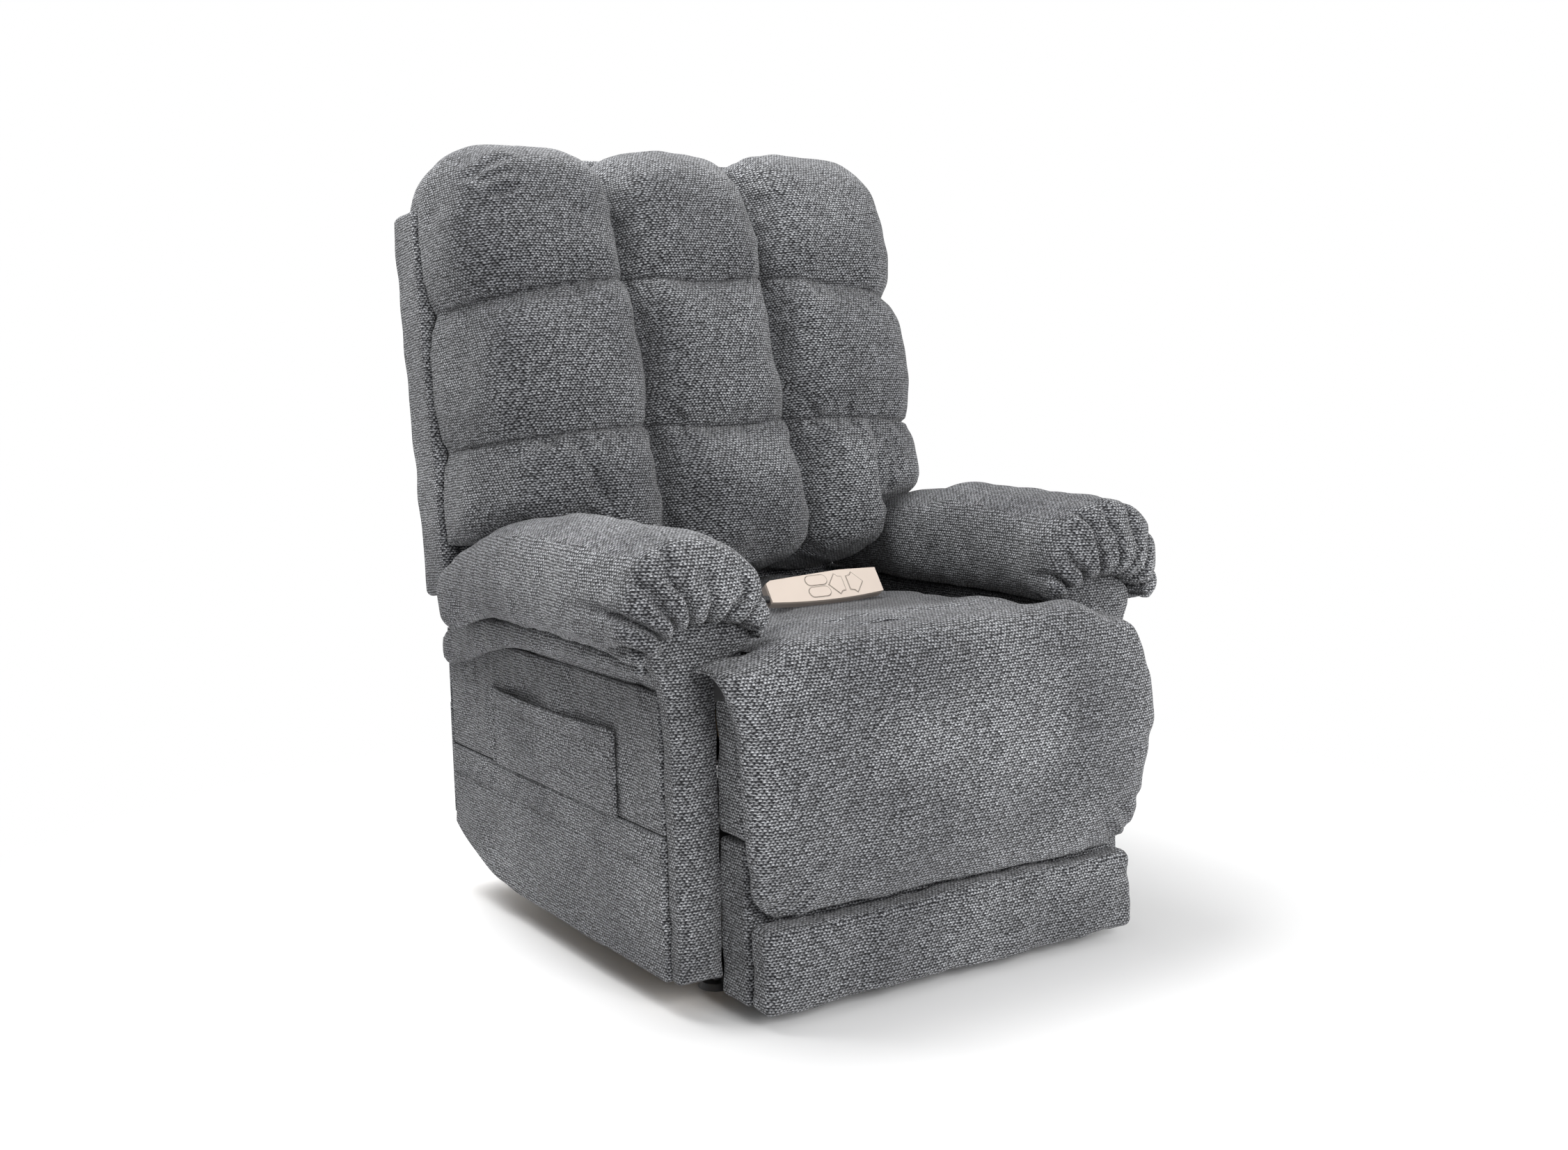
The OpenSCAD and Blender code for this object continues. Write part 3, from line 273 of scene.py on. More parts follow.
def tube(route: Array, radius: Array, sides: int = 16) -> Surface:
    """A round tube along a route, with its ends drawn to a point on the line.

    A ring at each route point p is p + r (N cos a + B sin a), with N and B square to the run.

    Args:
        route: Points along the middle, shape (n, 3).
        radius: One radius, or one for each point.
        sides: Points in a ring.

    Returns:
        The closed surface.
    """
    run = np.gradient(route, axis=0)
    run /= np.linalg.norm(run, axis=1)[:, None]
    normal = np.cross(run, [0.13, 0.31, 0.94])
    normal /= np.linalg.norm(normal, axis=1)[:, None]
    second = np.cross(run, normal)
    radius = np.broadcast_to(radius, (len(route),)).astype(float)
    route = np.concatenate([route[:1], route, route[-1:]])
    normal, second = (np.concatenate([v[:1], v, v[-1:]]) for v in (normal, second))
    radius = np.concatenate([[radius[0] * 0.02], radius, [radius[-1] * 0.02]])
    a = np.linspace(0, 2 * np.pi, sides, endpoint=False)
    rings = (route[:, None] + radius[:, None, None]
             * (normal[:, None] * np.cos(a)[None, :, None]
                + second[:, None] * np.sin(a)[None, :, None]))
    n, i, j = len(route), *np.meshgrid(np.arange(len(route) - 1), np.arange(sides), indexing="ij")
    k = (j + 1) % sides
    quads = np.stack([i * sides + j, i * sides + k, (i + 1) * sides + k, (i + 1) * sides + j],
                     -1).reshape(-1, 4)
    half = sides // 2
    s = np.arange(half - 1)
    cap = np.stack([s, s + 1, sides - 2 - s, sides - 1 - s], -1)
    cap = cap[: (sides - 2) // 2]
    return Surface(rings.reshape(-1, 3),
                   np.concatenate([quads, cap[:, ::-1], cap + (n - 1) * sides]))


def read_points(piece: bpy.types.Object) -> Array:
    """Vertex places of a piece, shape (n, 3)."""
    out = np.zeros(len(piece.data.vertices) * 3, np.float32)
    piece.data.vertices.foreach_get("co", out)
    return out.reshape(-1, 3).astype(float)


def read_normals(piece: bpy.types.Object) -> Array:
    """Vertex normals of a piece, shape (n, 3)."""
    out = np.zeros(len(piece.data.vertices) * 3, np.float32)
    piece.data.vertex_normals.foreach_get("vector", out)
    return out.reshape(-1, 3).astype(float)


def write_points(piece: bpy.types.Object, points: Array) -> None:
    """Puts vertex places into a piece."""
    piece.data.vertices.foreach_set("co", points.astype(np.float32).ravel())
    piece.data.update()


def settle(piece: bpy.types.Object) -> None:
    """Puts the result of a piece's live modifiers into its mesh, and takes them off."""
    graph = bpy.context.evaluated_depsgraph_get()
    graph.update()
    final = bpy.data.meshes.new_from_object(piece.evaluated_get(graph), depsgraph=graph)
    old = piece.data
    piece.modifiers.clear()
    piece.data = final
    bpy.data.meshes.remove(old)
    piece.data.polygons.foreach_set("use_smooth", np.ones(len(piece.data.polygons), bool))


def subdivide(piece: bpy.types.Object, levels: int = 1) -> None:
    """Catmull–Clark subdivision, put into the mesh."""
    step = piece.modifiers.new("subdivide", "SUBSURF")
    step.levels = step.render_levels = levels
    settle(piece)


def sculpt(piece: bpy.types.Object, height: Field) -> None:
    """Moves each vertex along its normal by height(points, normals)."""
    points, normals = read_points(piece), read_normals(piece)
    write_points(piece, points + normals * height(points, normals)[:, None])


def mark(piece: bpy.types.Object, name: str, values: Array) -> None:
    """Keeps one number for each vertex as an attribute that a finish can read."""
    layer = piece.data.attributes.get(name) or piece.data.attributes.new(name, "FLOAT", "POINT")
    layer.data.foreach_set("value", values.astype(np.float32))


def lay_weave(piece: bpy.types.Object, axes: Optional[Array] = None, shift: float = 0.0) -> None:
    """UV map "weave" in metres: a face reads the two axes that lie flattest on it.

    Args:
        piece: The piece to map.
        axes: Rows are the cloth's own X, Y and Z directions.
        shift: Slides the pattern, so that two pieces don't match at their seam.
    """
    axes = np.eye(3) if axes is None else axes
    data = piece.data
    count = len(data.polygons)
    normals = np.zeros(count * 3, np.float32)
    total = np.zeros(count, np.int32)
    corner = np.zeros(len(data.loops), np.int32)
    data.polygons.foreach_get("normal", normals)
    data.polygons.foreach_get("loop_total", total)
    data.loops.foreach_get("vertex_index", corner)
    facing = np.abs(normals.reshape(-1, 3) @ axes.T) * np.array([1.0, 1.08, 0.95])
    best = np.repeat(facing.argmax(1), total)
    p = read_points(piece)[corner] @ axes.T
    first = np.array([1, 0, 0])[best]
    second = np.array([2, 2, 1])[best]
    rows = np.arange(len(p))
    uv = np.stack([p[rows, first] + shift, p[rows, second] + 0.37 * shift], -1)
    layer = data.uv_layers.get("weave") or data.uv_layers.new(name="weave")
    layer.data.foreach_set("uv", uv.astype(np.float32).ravel())


@dataclass
class Stuffing:
    """How a closed shape is filled and swelled by cloth under pressure.

    Attributes:
        voxel: Size of the remeshed faces.
        cap: The furthest that a point may swell.
        pressure: Cloth pressure.
        frames: Steps of the simulation.
    """

    voxel: float = 0.008
    cap: float = 0.024
    pressure: float = 4.0
    frames: int = 20

    def remesh(self, piece: bpy.types.Object) -> None:
        """Replaces the faces by even ones of the voxel's size."""
        step = piece.modifiers.new("even", "REMESH")
        step.mode = "VOXEL"
        step.voxel_size = self.voxel
        step.use_smooth_shade = True
        settle(piece)

    def swell(self, piece: bpy.types.Object,
              hold: Optional[Callable[[Array], Array]] = None) -> None:
        """Swells the piece with cloth under pressure, held where hold(points) is near 1.

        Args:
            piece: The remeshed piece.
            hold: Gives each point's pin weight, from 0 free to 1 held.
        """
        scene = bpy.context.scene
        before = read_points(piece)
        cloth = piece.modifiers.new("swell", "CLOTH")
        rules = cloth.settings
        rules.quality = 5
        rules.mass = 0.3
        rules.tension_stiffness = rules.compression_stiffness = 15
        rules.bending_stiffness = 0.6
        rules.use_pressure = True
        rules.uniform_pressure_force = self.pressure
        rules.effector_weights.gravity = 0.0
        cloth.collision_settings.use_collision = False
        cloth.collision_settings.use_self_collision = False
        if hold is not None:
            group = piece.vertex_groups.new(name="hold")
            weights = np.clip(hold(before), 0, 1)
            for level in (0.25, 0.5, 0.75, 1.0):
                chosen = np.nonzero(np.abs(weights - level) <= 0.125)[0]
                group.add(chosen.tolist(), level, "REPLACE")
            rules.vertex_group_mass = "hold"
        cloth.point_cache.frame_start = 1
        cloth.point_cache.frame_end = self.frames
        for step in range(1, self.frames + 1):
            scene.frame_set(step)
        graph = bpy.context.evaluated_depsgraph_get()
        result = piece.evaluated_get(graph).to_mesh()
        after = np.zeros(len(before) * 3, np.float32)
        result.vertices.foreach_get("co", after)
        piece.evaluated_get(graph).to_mesh_clear()
        piece.modifiers.clear()
        piece.vertex_groups.clear()
        scene.frame_set(1)
        move = np.nan_to_num(after.reshape(-1, 3) - before)
        far = np.maximum(np.linalg.norm(move, axis=1), 1e-9)[:, None]
        write_points(piece, before + move / far * self.cap * np.tanh(far / self.cap))


# ------------------------------------------------------------------ finishes


class Nodes:
    """Short hand for the nodes of one material."""

    def __init__(self, name: str) -> None:
        """Starts an empty material of that name."""
        self.material = bpy.data.materials.new(name)
        self.material.use_nodes = True
        self.tree = self.material.node_tree
        self.tree.nodes.clear()
        self.out = self.tree.nodes.new("ShaderNodeOutputMaterial")

    def add(self, kind: str, **values: object) -> bpy.types.Node:
        """A node with its properties, inputs by name, and links from other sockets set."""
        node = self.tree.nodes.new("ShaderNode" + kind)
        for key, value in values.items():
            if hasattr(node, key) and key not in node.inputs:
                setattr(node, key, value)
                continue
            at = int(key[1:]) if key[0] == "i" and key[1:].isdigit() else key.replace("_", " ")
            if isinstance(value, bpy.types.NodeSocket):
                self.tree.links.new(value, node.inputs[at])
            else:
                node.inputs[at].default_value = value
        return node

    def math(self, operation: str, a: object, b: object = 0.0,
             c: object = 0.0) -> bpy.types.NodeSocket:
        """The value of one math node."""
        return self.add("Math", operation=operation, i0=a, i1=b, i2=c).outputs[0]

    def mix(self, share: object, a: object, b: object, blend: str = "MIX") -> bpy.types.NodeSocket:
        """The colour of one mix node."""
        node = self.add("Mix", data_type="RGBA", blend_type=blend, i0=share, i6=a, i7=b)
        return node.outputs[2]

    def ramp(self, value: object, stops: Sequence[tuple[float, Row]]) -> bpy.types.NodeSocket:
        """The colour of a ramp with the given stops."""
        node = self.add("ValToRGB", Fac=value)
        band = node.color_ramp
        while len(band.elements) < len(stops):
            band.elements.new(0.5)
        for element, (place, colour) in zip(band.elements, stops):
            element.position = place
            element.color = (*colour, 1.0) if len(colour) == 3 else colour
        return node.outputs[0]

    def finish(self, bump: object = None, distance: float = 0.001, strength: float = 1.0,
               **values: object) -> bpy.types.Material:
        """Closes the material with a Principled shader.

        Args:
            bump: Height for the surface's relief, or None.
            distance: Relief in metres for a height of 1.
            strength: How much of the relief shows.
            values: The shader's inputs by name, with _ for a space.

        Returns:
            The finished material.
        """
        shader = self.add("BsdfPrincipled", **values)
        if bump is not None:
            relief = self.add("Bump", Height=bump, Distance=distance, Strength=strength)
            self.tree.links.new(relief.outputs[0], shader.inputs["Normal"])
        self.tree.links.new(shader.outputs[0], self.out.inputs["Surface"])
        return self.material


@dataclass(frozen=True)
class Chenille:
    """Chunky heather upholstery: rows of short nubs with dark gaps and a brushed nap.

    Attributes:
        name: The material's name.
        nub: Width and height of one nub, in metres.
        deep: Colour of the gaps.
        body: Colour of most nubs.
        fleck: Colour of the palest nubs.
    """

    name: str = "chenille"
    nub: Row = (0.0050, 0.0036)
    deep: Row = (0.010, 0.010, 0.012)
    body: Row = (0.112, 0.115, 0.124)
    fleck: Row = (0.46, 0.467, 0.486)

    def build(self) -> bpy.types.Material:
        """Builds the cloth from the weave map, with every other row set half a nub along."""
        n = Nodes(self.name)
        uv = n.add("UVMap", uv_map="weave").outputs[0]
        place = n.add("TexCoord").outputs["Object"]
        wander = n.add("TexNoise", Vector=place, Scale=38.0, Detail=1.0)
        split = n.add("SeparateXYZ", i0=uv)
        drift = n.math("MULTIPLY", wander.outputs["Fac"], 0.8)
        v = n.math("ADD", n.math("DIVIDE", split.outputs[1], self.nub[1]), drift)
        row = n.math("FLOOR", v)
        u = n.math("ADD", n.math("DIVIDE", split.outputs[0], self.nub[0]),
                   n.math("MULTIPLY", row, 0.5))
        grid = n.add("CombineXYZ", X=u, Y=v).outputs[0]
        cell = n.add("TexVoronoi", voronoi_dimensions="2D", Vector=grid, Scale=1.0,
                     Randomness=0.34)
        near = cell.outputs["Distance"]
        tone = n.add("SeparateColor", i0=cell.outputs["Color"]).outputs[0]
        fibre = n.add("TexNoise", Vector=place, Scale=620.0, Detail=2.0).outputs["Fac"]
        nap = n.add("TexNoise", Vector=place, Scale=4.5, Detail=1.5, Roughness=0.5, Distortion=0.5)
        streak = n.add("TexNoise", Vector=place, Scale=17.0, Detail=2.0).outputs["Fac"]
        near = n.math("ADD", near, n.math("MULTIPLY", n.math("SUBTRACT", fibre, 0.5), 0.40))
        light = n.ramp(near, [(0.0, self.fleck),
                              (0.22, [0.55 * a + 0.45 * b for a, b in zip(self.fleck, self.body)]),
                              (0.36, self.body), (0.54, self.deep)])
        each = n.math("ADD", 0.58, n.math("MULTIPLY", tone, 0.84))
        light = n.mix(1.0, light, n.add("CombineColor", Red=each, Green=each,
                                        Blue=each).outputs[0], "MULTIPLY")
        brushed = n.ramp(nap.outputs["Fac"],
                         [(0.30, (0.76, 0.76, 0.77)), (0.5, (0.97, 0.97, 0.97)),
                          (0.70, (1.34, 1.34, 1.33))])
        light = n.mix(1.0, light, brushed, "MULTIPLY")
        worn = n.ramp(streak, [(0.35, (0.95, 0.95, 0.95)), (0.65, (1.05, 1.05, 1.05))])
        light = n.mix(1.0, light, worn, "MULTIPLY")
        # Painted shade: the vertex attribute read here mixes the cloth towards near black where
        # shade falls: seam grooves, fold bottoms, the facing, the seat and the side panel.
        seam = n.add("Attribute", attribute_name="seam").outputs["Fac"]
        light = n.mix(n.math("MULTIPLY", seam, 0.72), light, (0.02, 0.02, 0.022, 1.0))
        height = n.math("SUBTRACT", 1.0, n.math("MULTIPLY", near, 1.25))
        return n.finish(height, 0.0022, 1.0, Base_Color=light, Roughness=0.92, Sheen_Weight=0.22,
                        Sheen_Roughness=0.45, Specular_IOR_Level=0.18)


@dataclass(frozen=True)
class Moulded:
    """Moulded plastic or rubber with a fine spark texture.

    Attributes:
        name: The material's name.
        colour: Its colour.
        roughness: Its roughness.
        grain: Depth of the texture, in metres.
        coat: Share of clear gloss over it.
    """

    name: str
    colour: Row
    roughness: float = 0.42
    grain: float = 0.00005
    coat: float = 0.0

    def build(self) -> bpy.types.Material:
        """Builds the plastic from fine noise and slow tone changes."""
        n = Nodes(self.name)
        place = n.add("TexCoord").outputs["Object"]
        grain = n.add("TexNoise", Vector=place, Scale=1400.0, Detail=2.0).outputs["Fac"]
        tone = n.add("TexNoise", Vector=place, Scale=30.0, Detail=3.0).outputs["Fac"]
        colour = n.mix(tone, (*[0.93 * c for c in self.colour], 1.0),
                       (*[min(1, 1.04 * c) for c in self.colour], 1.0))
        return n.finish(grain, self.grain, 0.6, Base_Color=colour, Roughness=self.roughness,
                        Coat_Weight=self.coat, Coat_Roughness=0.2)


@dataclass(frozen=True)
class PaintedSteel:
    """Powder-coated steel with orange peel, fine drawn lines and pale dusty patches.

    Attributes:
        name: The material's name.
        colour: The paint's colour.
        metallic: 0 for paint, 1 for bare or plated steel.
        roughness: Its roughness.
        scratch: Colour of the fine drawn lines.
    """

    name: str
    colour: Row
    metallic: float = 0.0
    roughness: float = 0.4
    scratch: Row = (0.3, 0.3, 0.31)

    def build(self) -> bpy.types.Material:
        """Builds the coat from peel noise, and fine lines stretched along X."""
        n = Nodes(self.name)
        place = n.add("TexCoord").outputs["Object"]
        peel = n.add("TexNoise", Vector=place, Scale=420.0, Detail=2.0).outputs["Fac"]
        along = n.add("Mapping", Vector=place, Scale=(6.0, 240.0, 240.0)).outputs[0]
        line = n.add("TexNoise", Vector=along, Scale=1.0, Detail=3.0).outputs["Fac"]
        dust = n.add("TexNoise", Vector=place, Scale=9.0, Detail=4.0).outputs["Fac"]
        colour = n.mix(n.ramp(line, [(0.66, (0, 0, 0)), (0.8, (0.5, 0.5, 0.5))]),
                       (*self.colour, 1.0), (*self.scratch, 1.0))
        colour = n.mix(n.ramp(dust, [(0.45, (0, 0, 0)), (0.75, (0.18, 0.18, 0.18))]), colour,
                       (0.25, 0.24, 0.23, 1.0))
        rough = n.math("ADD", self.roughness,
                       n.math("MULTIPLY", n.math("SUBTRACT", dust, 0.5), 0.25))
        return n.finish(peel, 0.00008, 0.7, Base_Color=colour, Metallic=self.metallic,
                        Roughness=rough)


@dataclass(frozen=True)
class Timber:
    """Sawn frame timber and ply: pale boards with long grain.

    Attributes:
        name: The material's name.
        early: Colour of the pale grain.
        late: Colour of the dark grain.
    """

    name: str = "frame_timber"
    early: Row = (0.62, 0.44, 0.25)
    late: Row = (0.40, 0.25, 0.12)

    def build(self) -> bpy.types.Material:
        """Builds the grain from bands of Z and Y bent by slow noise."""
        n = Nodes(self.name)
        place = n.add("TexCoord").outputs["Object"]
        long = n.add("Mapping", Vector=place, Scale=(14.0, 2.2, 30.0)).outputs[0]
        slow = n.add("TexNoise", Vector=long, Scale=1.0, Detail=3.0).outputs["Fac"]
        band = n.math("SINE", n.math("MULTIPLY", slow, 55.0))
        pore = n.add("TexNoise", Vector=n.add("Mapping", Vector=place,
                                              Scale=(900.0, 40.0, 900.0)).outputs[0],
                     Scale=1.0, Detail=2.0).outputs["Fac"]
        share = n.math("MULTIPLY_ADD", band, 0.32, n.math("MULTIPLY", pore, 0.7))
        colour = n.mix(share, (*self.early, 1.0), (*self.late, 1.0))
        return n.finish(pore, 0.0002, 0.5, Base_Color=colour, Roughness=0.72)


# ------------------------------------------------------------------ the maker's bench


@dataclass
class Palette:
    """Every finish of the chair, built once."""

    cloth: bpy.types.Material = field(default_factory=lambda: Chenille().build())
    timber: bpy.types.Material = field(default_factory=lambda: Timber().build())
    base_paint: bpy.types.Material = field(default_factory=lambda: PaintedSteel("base_paint",
            (0.022, 0.022, 0.024)).build())
    link_paint: bpy.types.Material = field(default_factory=lambda: PaintedSteel("link_paint",
            (0.045, 0.045, 0.048), 0.0, 0.34).build())
    spring_wire: bpy.types.Material = field(default_factory=lambda: PaintedSteel("spring_wire",
            (0.52, 0.52, 0.54), 1.0, 0.34, (0.2, 0.2, 0.2)).build())
    plated_rod: bpy.types.Material = field(default_factory=lambda: PaintedSteel("plated_rod",
            (0.68, 0.69, 0.71), 1.0, 0.2, (0.4, 0.4, 0.4)).build())
    drive_case: bpy.types.Material = field(default_factory=lambda: Moulded("drive_case",
            (0.03, 0.03, 0.033), 0.5, 0.00012).build())
    black_plastic: bpy.types.Material = field(default_factory=lambda: Moulded("black_plastic",
            (0.022, 0.022, 0.024), 0.45, 0.0001).build())
    cream: bpy.types.Material = field(default_factory=lambda: Moulded("handset_cream",
            (0.64, 0.548, 0.476), 0.36, 0.00002, 0.25).build())
    shell_grey: bpy.types.Material = field(default_factory=lambda: Moulded("handset_underside",
            (0.36, 0.31, 0.28), 0.48, 0.00008).build())
    rim: bpy.types.Material = field(default_factory=lambda: Moulded("button_rim",
            (0.075, 0.078, 0.066), 0.5, 0.00002).build())
    rubber: bpy.types.Material = field(default_factory=lambda: Moulded("cord_rubber",
            (0.018, 0.018, 0.019), 0.52, 0.00006).build())


class Upholsterer:
    """Dresses finished shapes: cloth, weave map, body and the nodes they stand for."""

    def __init__(self, palette: Palette) -> None:
        """Keeps the palette, and starts a count that shifts each piece's weave."""
        self.palette = palette
        self.made = 0

    def dress(self, piece: bpy.types.Object, body: Optional[str], nodes: Sequence[str] = (),
              fill: Optional[float] = None,
              axes: Optional[Array] = None, slot: str = "upholstery",
              cloth: Optional[bpy.types.Material] = None) -> bpy.types.Object:
        """Finishes one piece.

        Args:
            piece: The closed mesh, in place.
            body: The body that it rides on, or None for none.
            nodes: The nodes that it stands for.
            fill: How full a padded piece is, or None for a board or a hard piece; not used.
            axes: The cloth's directions for the weave map.
            slot: The record's material slot; not used.
            cloth: Another finish than the chair's cloth.

        Returns:
            The piece.
        """
        lay_weave(piece, axes, 0.0137 * self.made)
        self.made += 1
        piece.data.materials.clear()
        piece.data.materials.append(cloth or self.palette.cloth)
        if body:
            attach(piece, body)
        if nodes:
            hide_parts(*nodes)
        LOG.info("%s: %d faces", piece.name, len(piece.data.polygons))
        return piece

    def board(self, name: str, low: Row, high: Row, radius: float, step: float,
              warp: Optional[Warp] = None,
              relief: Optional[Field] = None) -> bpy.types.Object:
        """An upholstered board: a round-edged block, bent by warp and then worked by relief.

        Args:
            name: The piece's name.
            low: Lowest corner.
            high: Highest corner.
            radius: Edge radius.
            step: Grid spacing.
            warp: Moves the block's points into the board's shape.
            relief: Height along the normals, for seams and slack cloth.

        Returns:
            The closed mesh.
        """
        surface = Surface.block(low, high, radius, step)
        piece = (surface.warped(warp) if warp else surface).mesh(name)
        if relief:
            sculpt(piece, relief)
        return piece


@dataclass
class Lean:
    """The back's own frame: X across, Y to the rear from the wings' front, Z up along the rake.

    Attributes:
        foot: Where the frame's origin is.
        rake: How far it leans back, in radians.
    """

    foot: Row = (0.0, 0.269, 0.465)
    rake: float = math.radians(6.9)

    def axes(self) -> Array:
        """Rows are the frame's X, Y and Z directions."""
        c, s = math.cos(self.rake), math.sin(self.rake)
        return np.array([[1, 0, 0], [0, c, -s], [0, s, c]], float)

    def out(self, p: Array) -> Array:
        """From the back's frame to the chair's."""
        return p @ self.axes() + np.array(self.foot)

    def back(self, p: Array) -> Array:
        """From the chair's frame to the back's."""
        return (p - np.array(self.foot)) @ self.axes().T


# ------------------------------------------------------------------ back


@dataclass
class Backrest:
    """The back: nine stuffed cells on a raked frame, a rear panel and two wings.

    Attributes:
        half: Half the cushion's width.
        column: Half the middle column's width.
        lumbar: Half the width of the part between the arm pillows.
        rows: Heights of the seams across the cushion.
        shelf: Height where the cushion widens over the arm pillows.
        depth: Depth of the cushion's valleys by height.
        lean: The back's frame.
    """

    bench: Upholsterer
    half: float = 0.387
    column: float = 0.118
    lumbar: float = 0.233
    rows: Row = (-0.011, 0.217, 0.437, 0.658)
    shelf: float = 0.070
    depth: Sequence[Row] = ((-0.011, 0.218), (0.04, 0.236), (0.11, 0.237), (0.217, 0.214),
                            (0.33, 0.203), (0.437, 0.182),
                            (0.54, 0.156), (0.61, 0.132), (0.658, 0.118))
    lean: Lean = field(default_factory=Lean)

    def column_line(self, local: Array) -> Array:
        """Distance from the nearer column seam."""
        at = self.column + 0.004 * np.sin(local[..., 2] * 14)
        return np.abs(np.abs(local[..., 0]) - at)

    def row_line(self, local: Array) -> Array:
        """Distance from the nearer seam across; both fall away outside the middle column."""
        out = np.clip((np.abs(local[..., 0]) - self.column) / (self.half - self.column), 0,
                      1) ** 1.4
        inner = 0.004 * np.cos(np.clip(local[..., 0] / self.column, -1, 1) * np.pi)
        low = np.abs(local[..., 2] - self.rows[1] + 0.016 * out + inner)
        return np.minimum(low, np.abs(local[..., 2] - self.rows[2] + 0.036 * out + inner))

    def foot(self, x: Array) -> Array:
        """Height of the cushion's foot: low between the arm pillows, higher above them."""
        return self.rows[0] + (self.shelf - self.rows[0]) * ease((np.abs(x) - self.lumbar) / 0.016)

    def crown(self, x: Array) -> Array:
        """Height of the cushion's top: three round crowns with a dip at each column seam."""
        to_seam = np.abs(np.abs(x) - self.column)
        dip = 0.040 * np.exp(-to_seam / 0.034)
        outer = np.clip((np.abs(x) - 0.27) / (self.half - 0.27), 0, 1)
        return self.rows[3] - dip - 0.085 * (1 - np.sqrt(np.maximum(1 - outer ** 2.2, 0)))

    def front(self, x: Array, z: Array) -> Array:
        """Depth of the cushion's front: stuffed cells that round off into their seams.

        Beside a seam the depth falls by P (1 − √(1 − (1 − d/w)²)), a quarter of an ellipse w wide
        and P deep; the outer edges fall off as √(1 − s^9.5), and the foot and crown round over.
        """
        local = np.stack([x, np.zeros_like(x), z], -1)

        def valley(distance: Array, wide: float, deep: float) -> Array:
            """Fall of the surface at a distance from a seam."""
            t = 1 - np.clip(distance / wide, 0, 1)
            return deep * (1 - np.sqrt(np.maximum(1 - t ** 2.2, 0)))

        column = valley(self.column_line(local), 0.086, 0.100)
        row = valley(self.row_line(local), 0.078, 0.048)
        deep = table(self.depth, z) + 0.006 - np.hypot(column,
                                                       row) * (0.72 + 0.28 * ease((0.64 - z)
                                                               / 0.12))
        deep -= 0.010 * ease((np.abs(x) - 0.20) / 0.05) * ease((0.20 - z) / 0.05)
        deep += 0.016 * ease((self.column - np.abs(x)) / 0.05) * ease((0.20 - z) / 0.06)
        side = np.sqrt(np.maximum(1 - np.clip(np.abs(x) / self.half, 0, 1) ** 9.5, 0))
        low = np.clip(1 - (z - self.foot(x)) / 0.060, 0, 1)
        high = np.clip(1 - (self.crown(x) - z) / 0.090, 0, 1)
        return deep * side * np.sqrt(1 - low ** 2.6) * np.sqrt(1 - high ** 2.6)

    def cushion(self) -> bpy.types.Object:
        """The back cushion: nine stuffed cells over a flat rear, swelled between their seams."""
        s = np.sin(np.linspace(-1, 1, 181) * np.pi / 2)
        g = 0.5 - 0.5 * np.cos(np.linspace(0, np.pi, 161))
        s, g = np.meshgrid(s, g, indexing="ij")
        x = s * self.half
        z = self.foot(x) + (self.crown(x) - self.foot(x)) * g
        local = np.stack([x, np.zeros_like(x), z], -1)
        notch = 0.018 * np.exp(-self.row_line(local) / 0.022)
        wide = x * (1 - notch / self.half * np.abs(s) ** 4 - 0.030 * ease((z - 0.52) / 0.14))
        deep = np.maximum(self.front(x, z), 0.0016)
        sheet = np.stack([wide, -deep, z], -1)
        rear = np.stack([wide, np.full_like(z, -0.0006), z], -1)
        piece = Surface.between(sheet, rear).warped(self.lean.out).mesh("back_cushion_cells")
        stuff = Stuffing(voxel=0.0070, cap=0.009)
        stuff.remesh(piece)
        stuff.swell(piece, self.held)
        subdivide(piece)
        local = self.lean.back(read_points(piece))
        local[:, 1] = np.minimum(local[:, 1], -0.0006)
        write_points(piece, self.lean.out(local))
        sculpt(piece, self.seams)
        write_points(piece, self.perched(read_points(piece)))
        # Painted shade in the seam grooves, kept for the cloth's finish.
        mark(piece, "seam", self.seam_shade(self.lean.back(read_points(piece))))
        return self.bench.dress(piece, "back", ["back_cushion"], 0.75, self.lean.axes())

    def perched(self, points: Array) -> Array:
        """Lifts the foot of the outer cells onto the arm pillows."""
        p = points.copy()
        x = np.abs(p[:, 0])
        over = pillow_top(x, p[:, 1]) + 0.0015
        p[:, 2] = np.where((x > 0.236) & (p[:, 2] < over), over, p[:, 2])
        return p

    def held(self, points: Array) -> Array:
        """Pin weight: 1 on the seams and the rear, 0 elsewhere."""
        local = self.lean.back(points)
        line = np.minimum(self.column_line(local), self.row_line(local))
        front = local[:, 1] < -0.03
        return np.where(local[:, 1] > -0.012, 1.0, np.where(front & (line < 0.006), 1.0, 0.0))

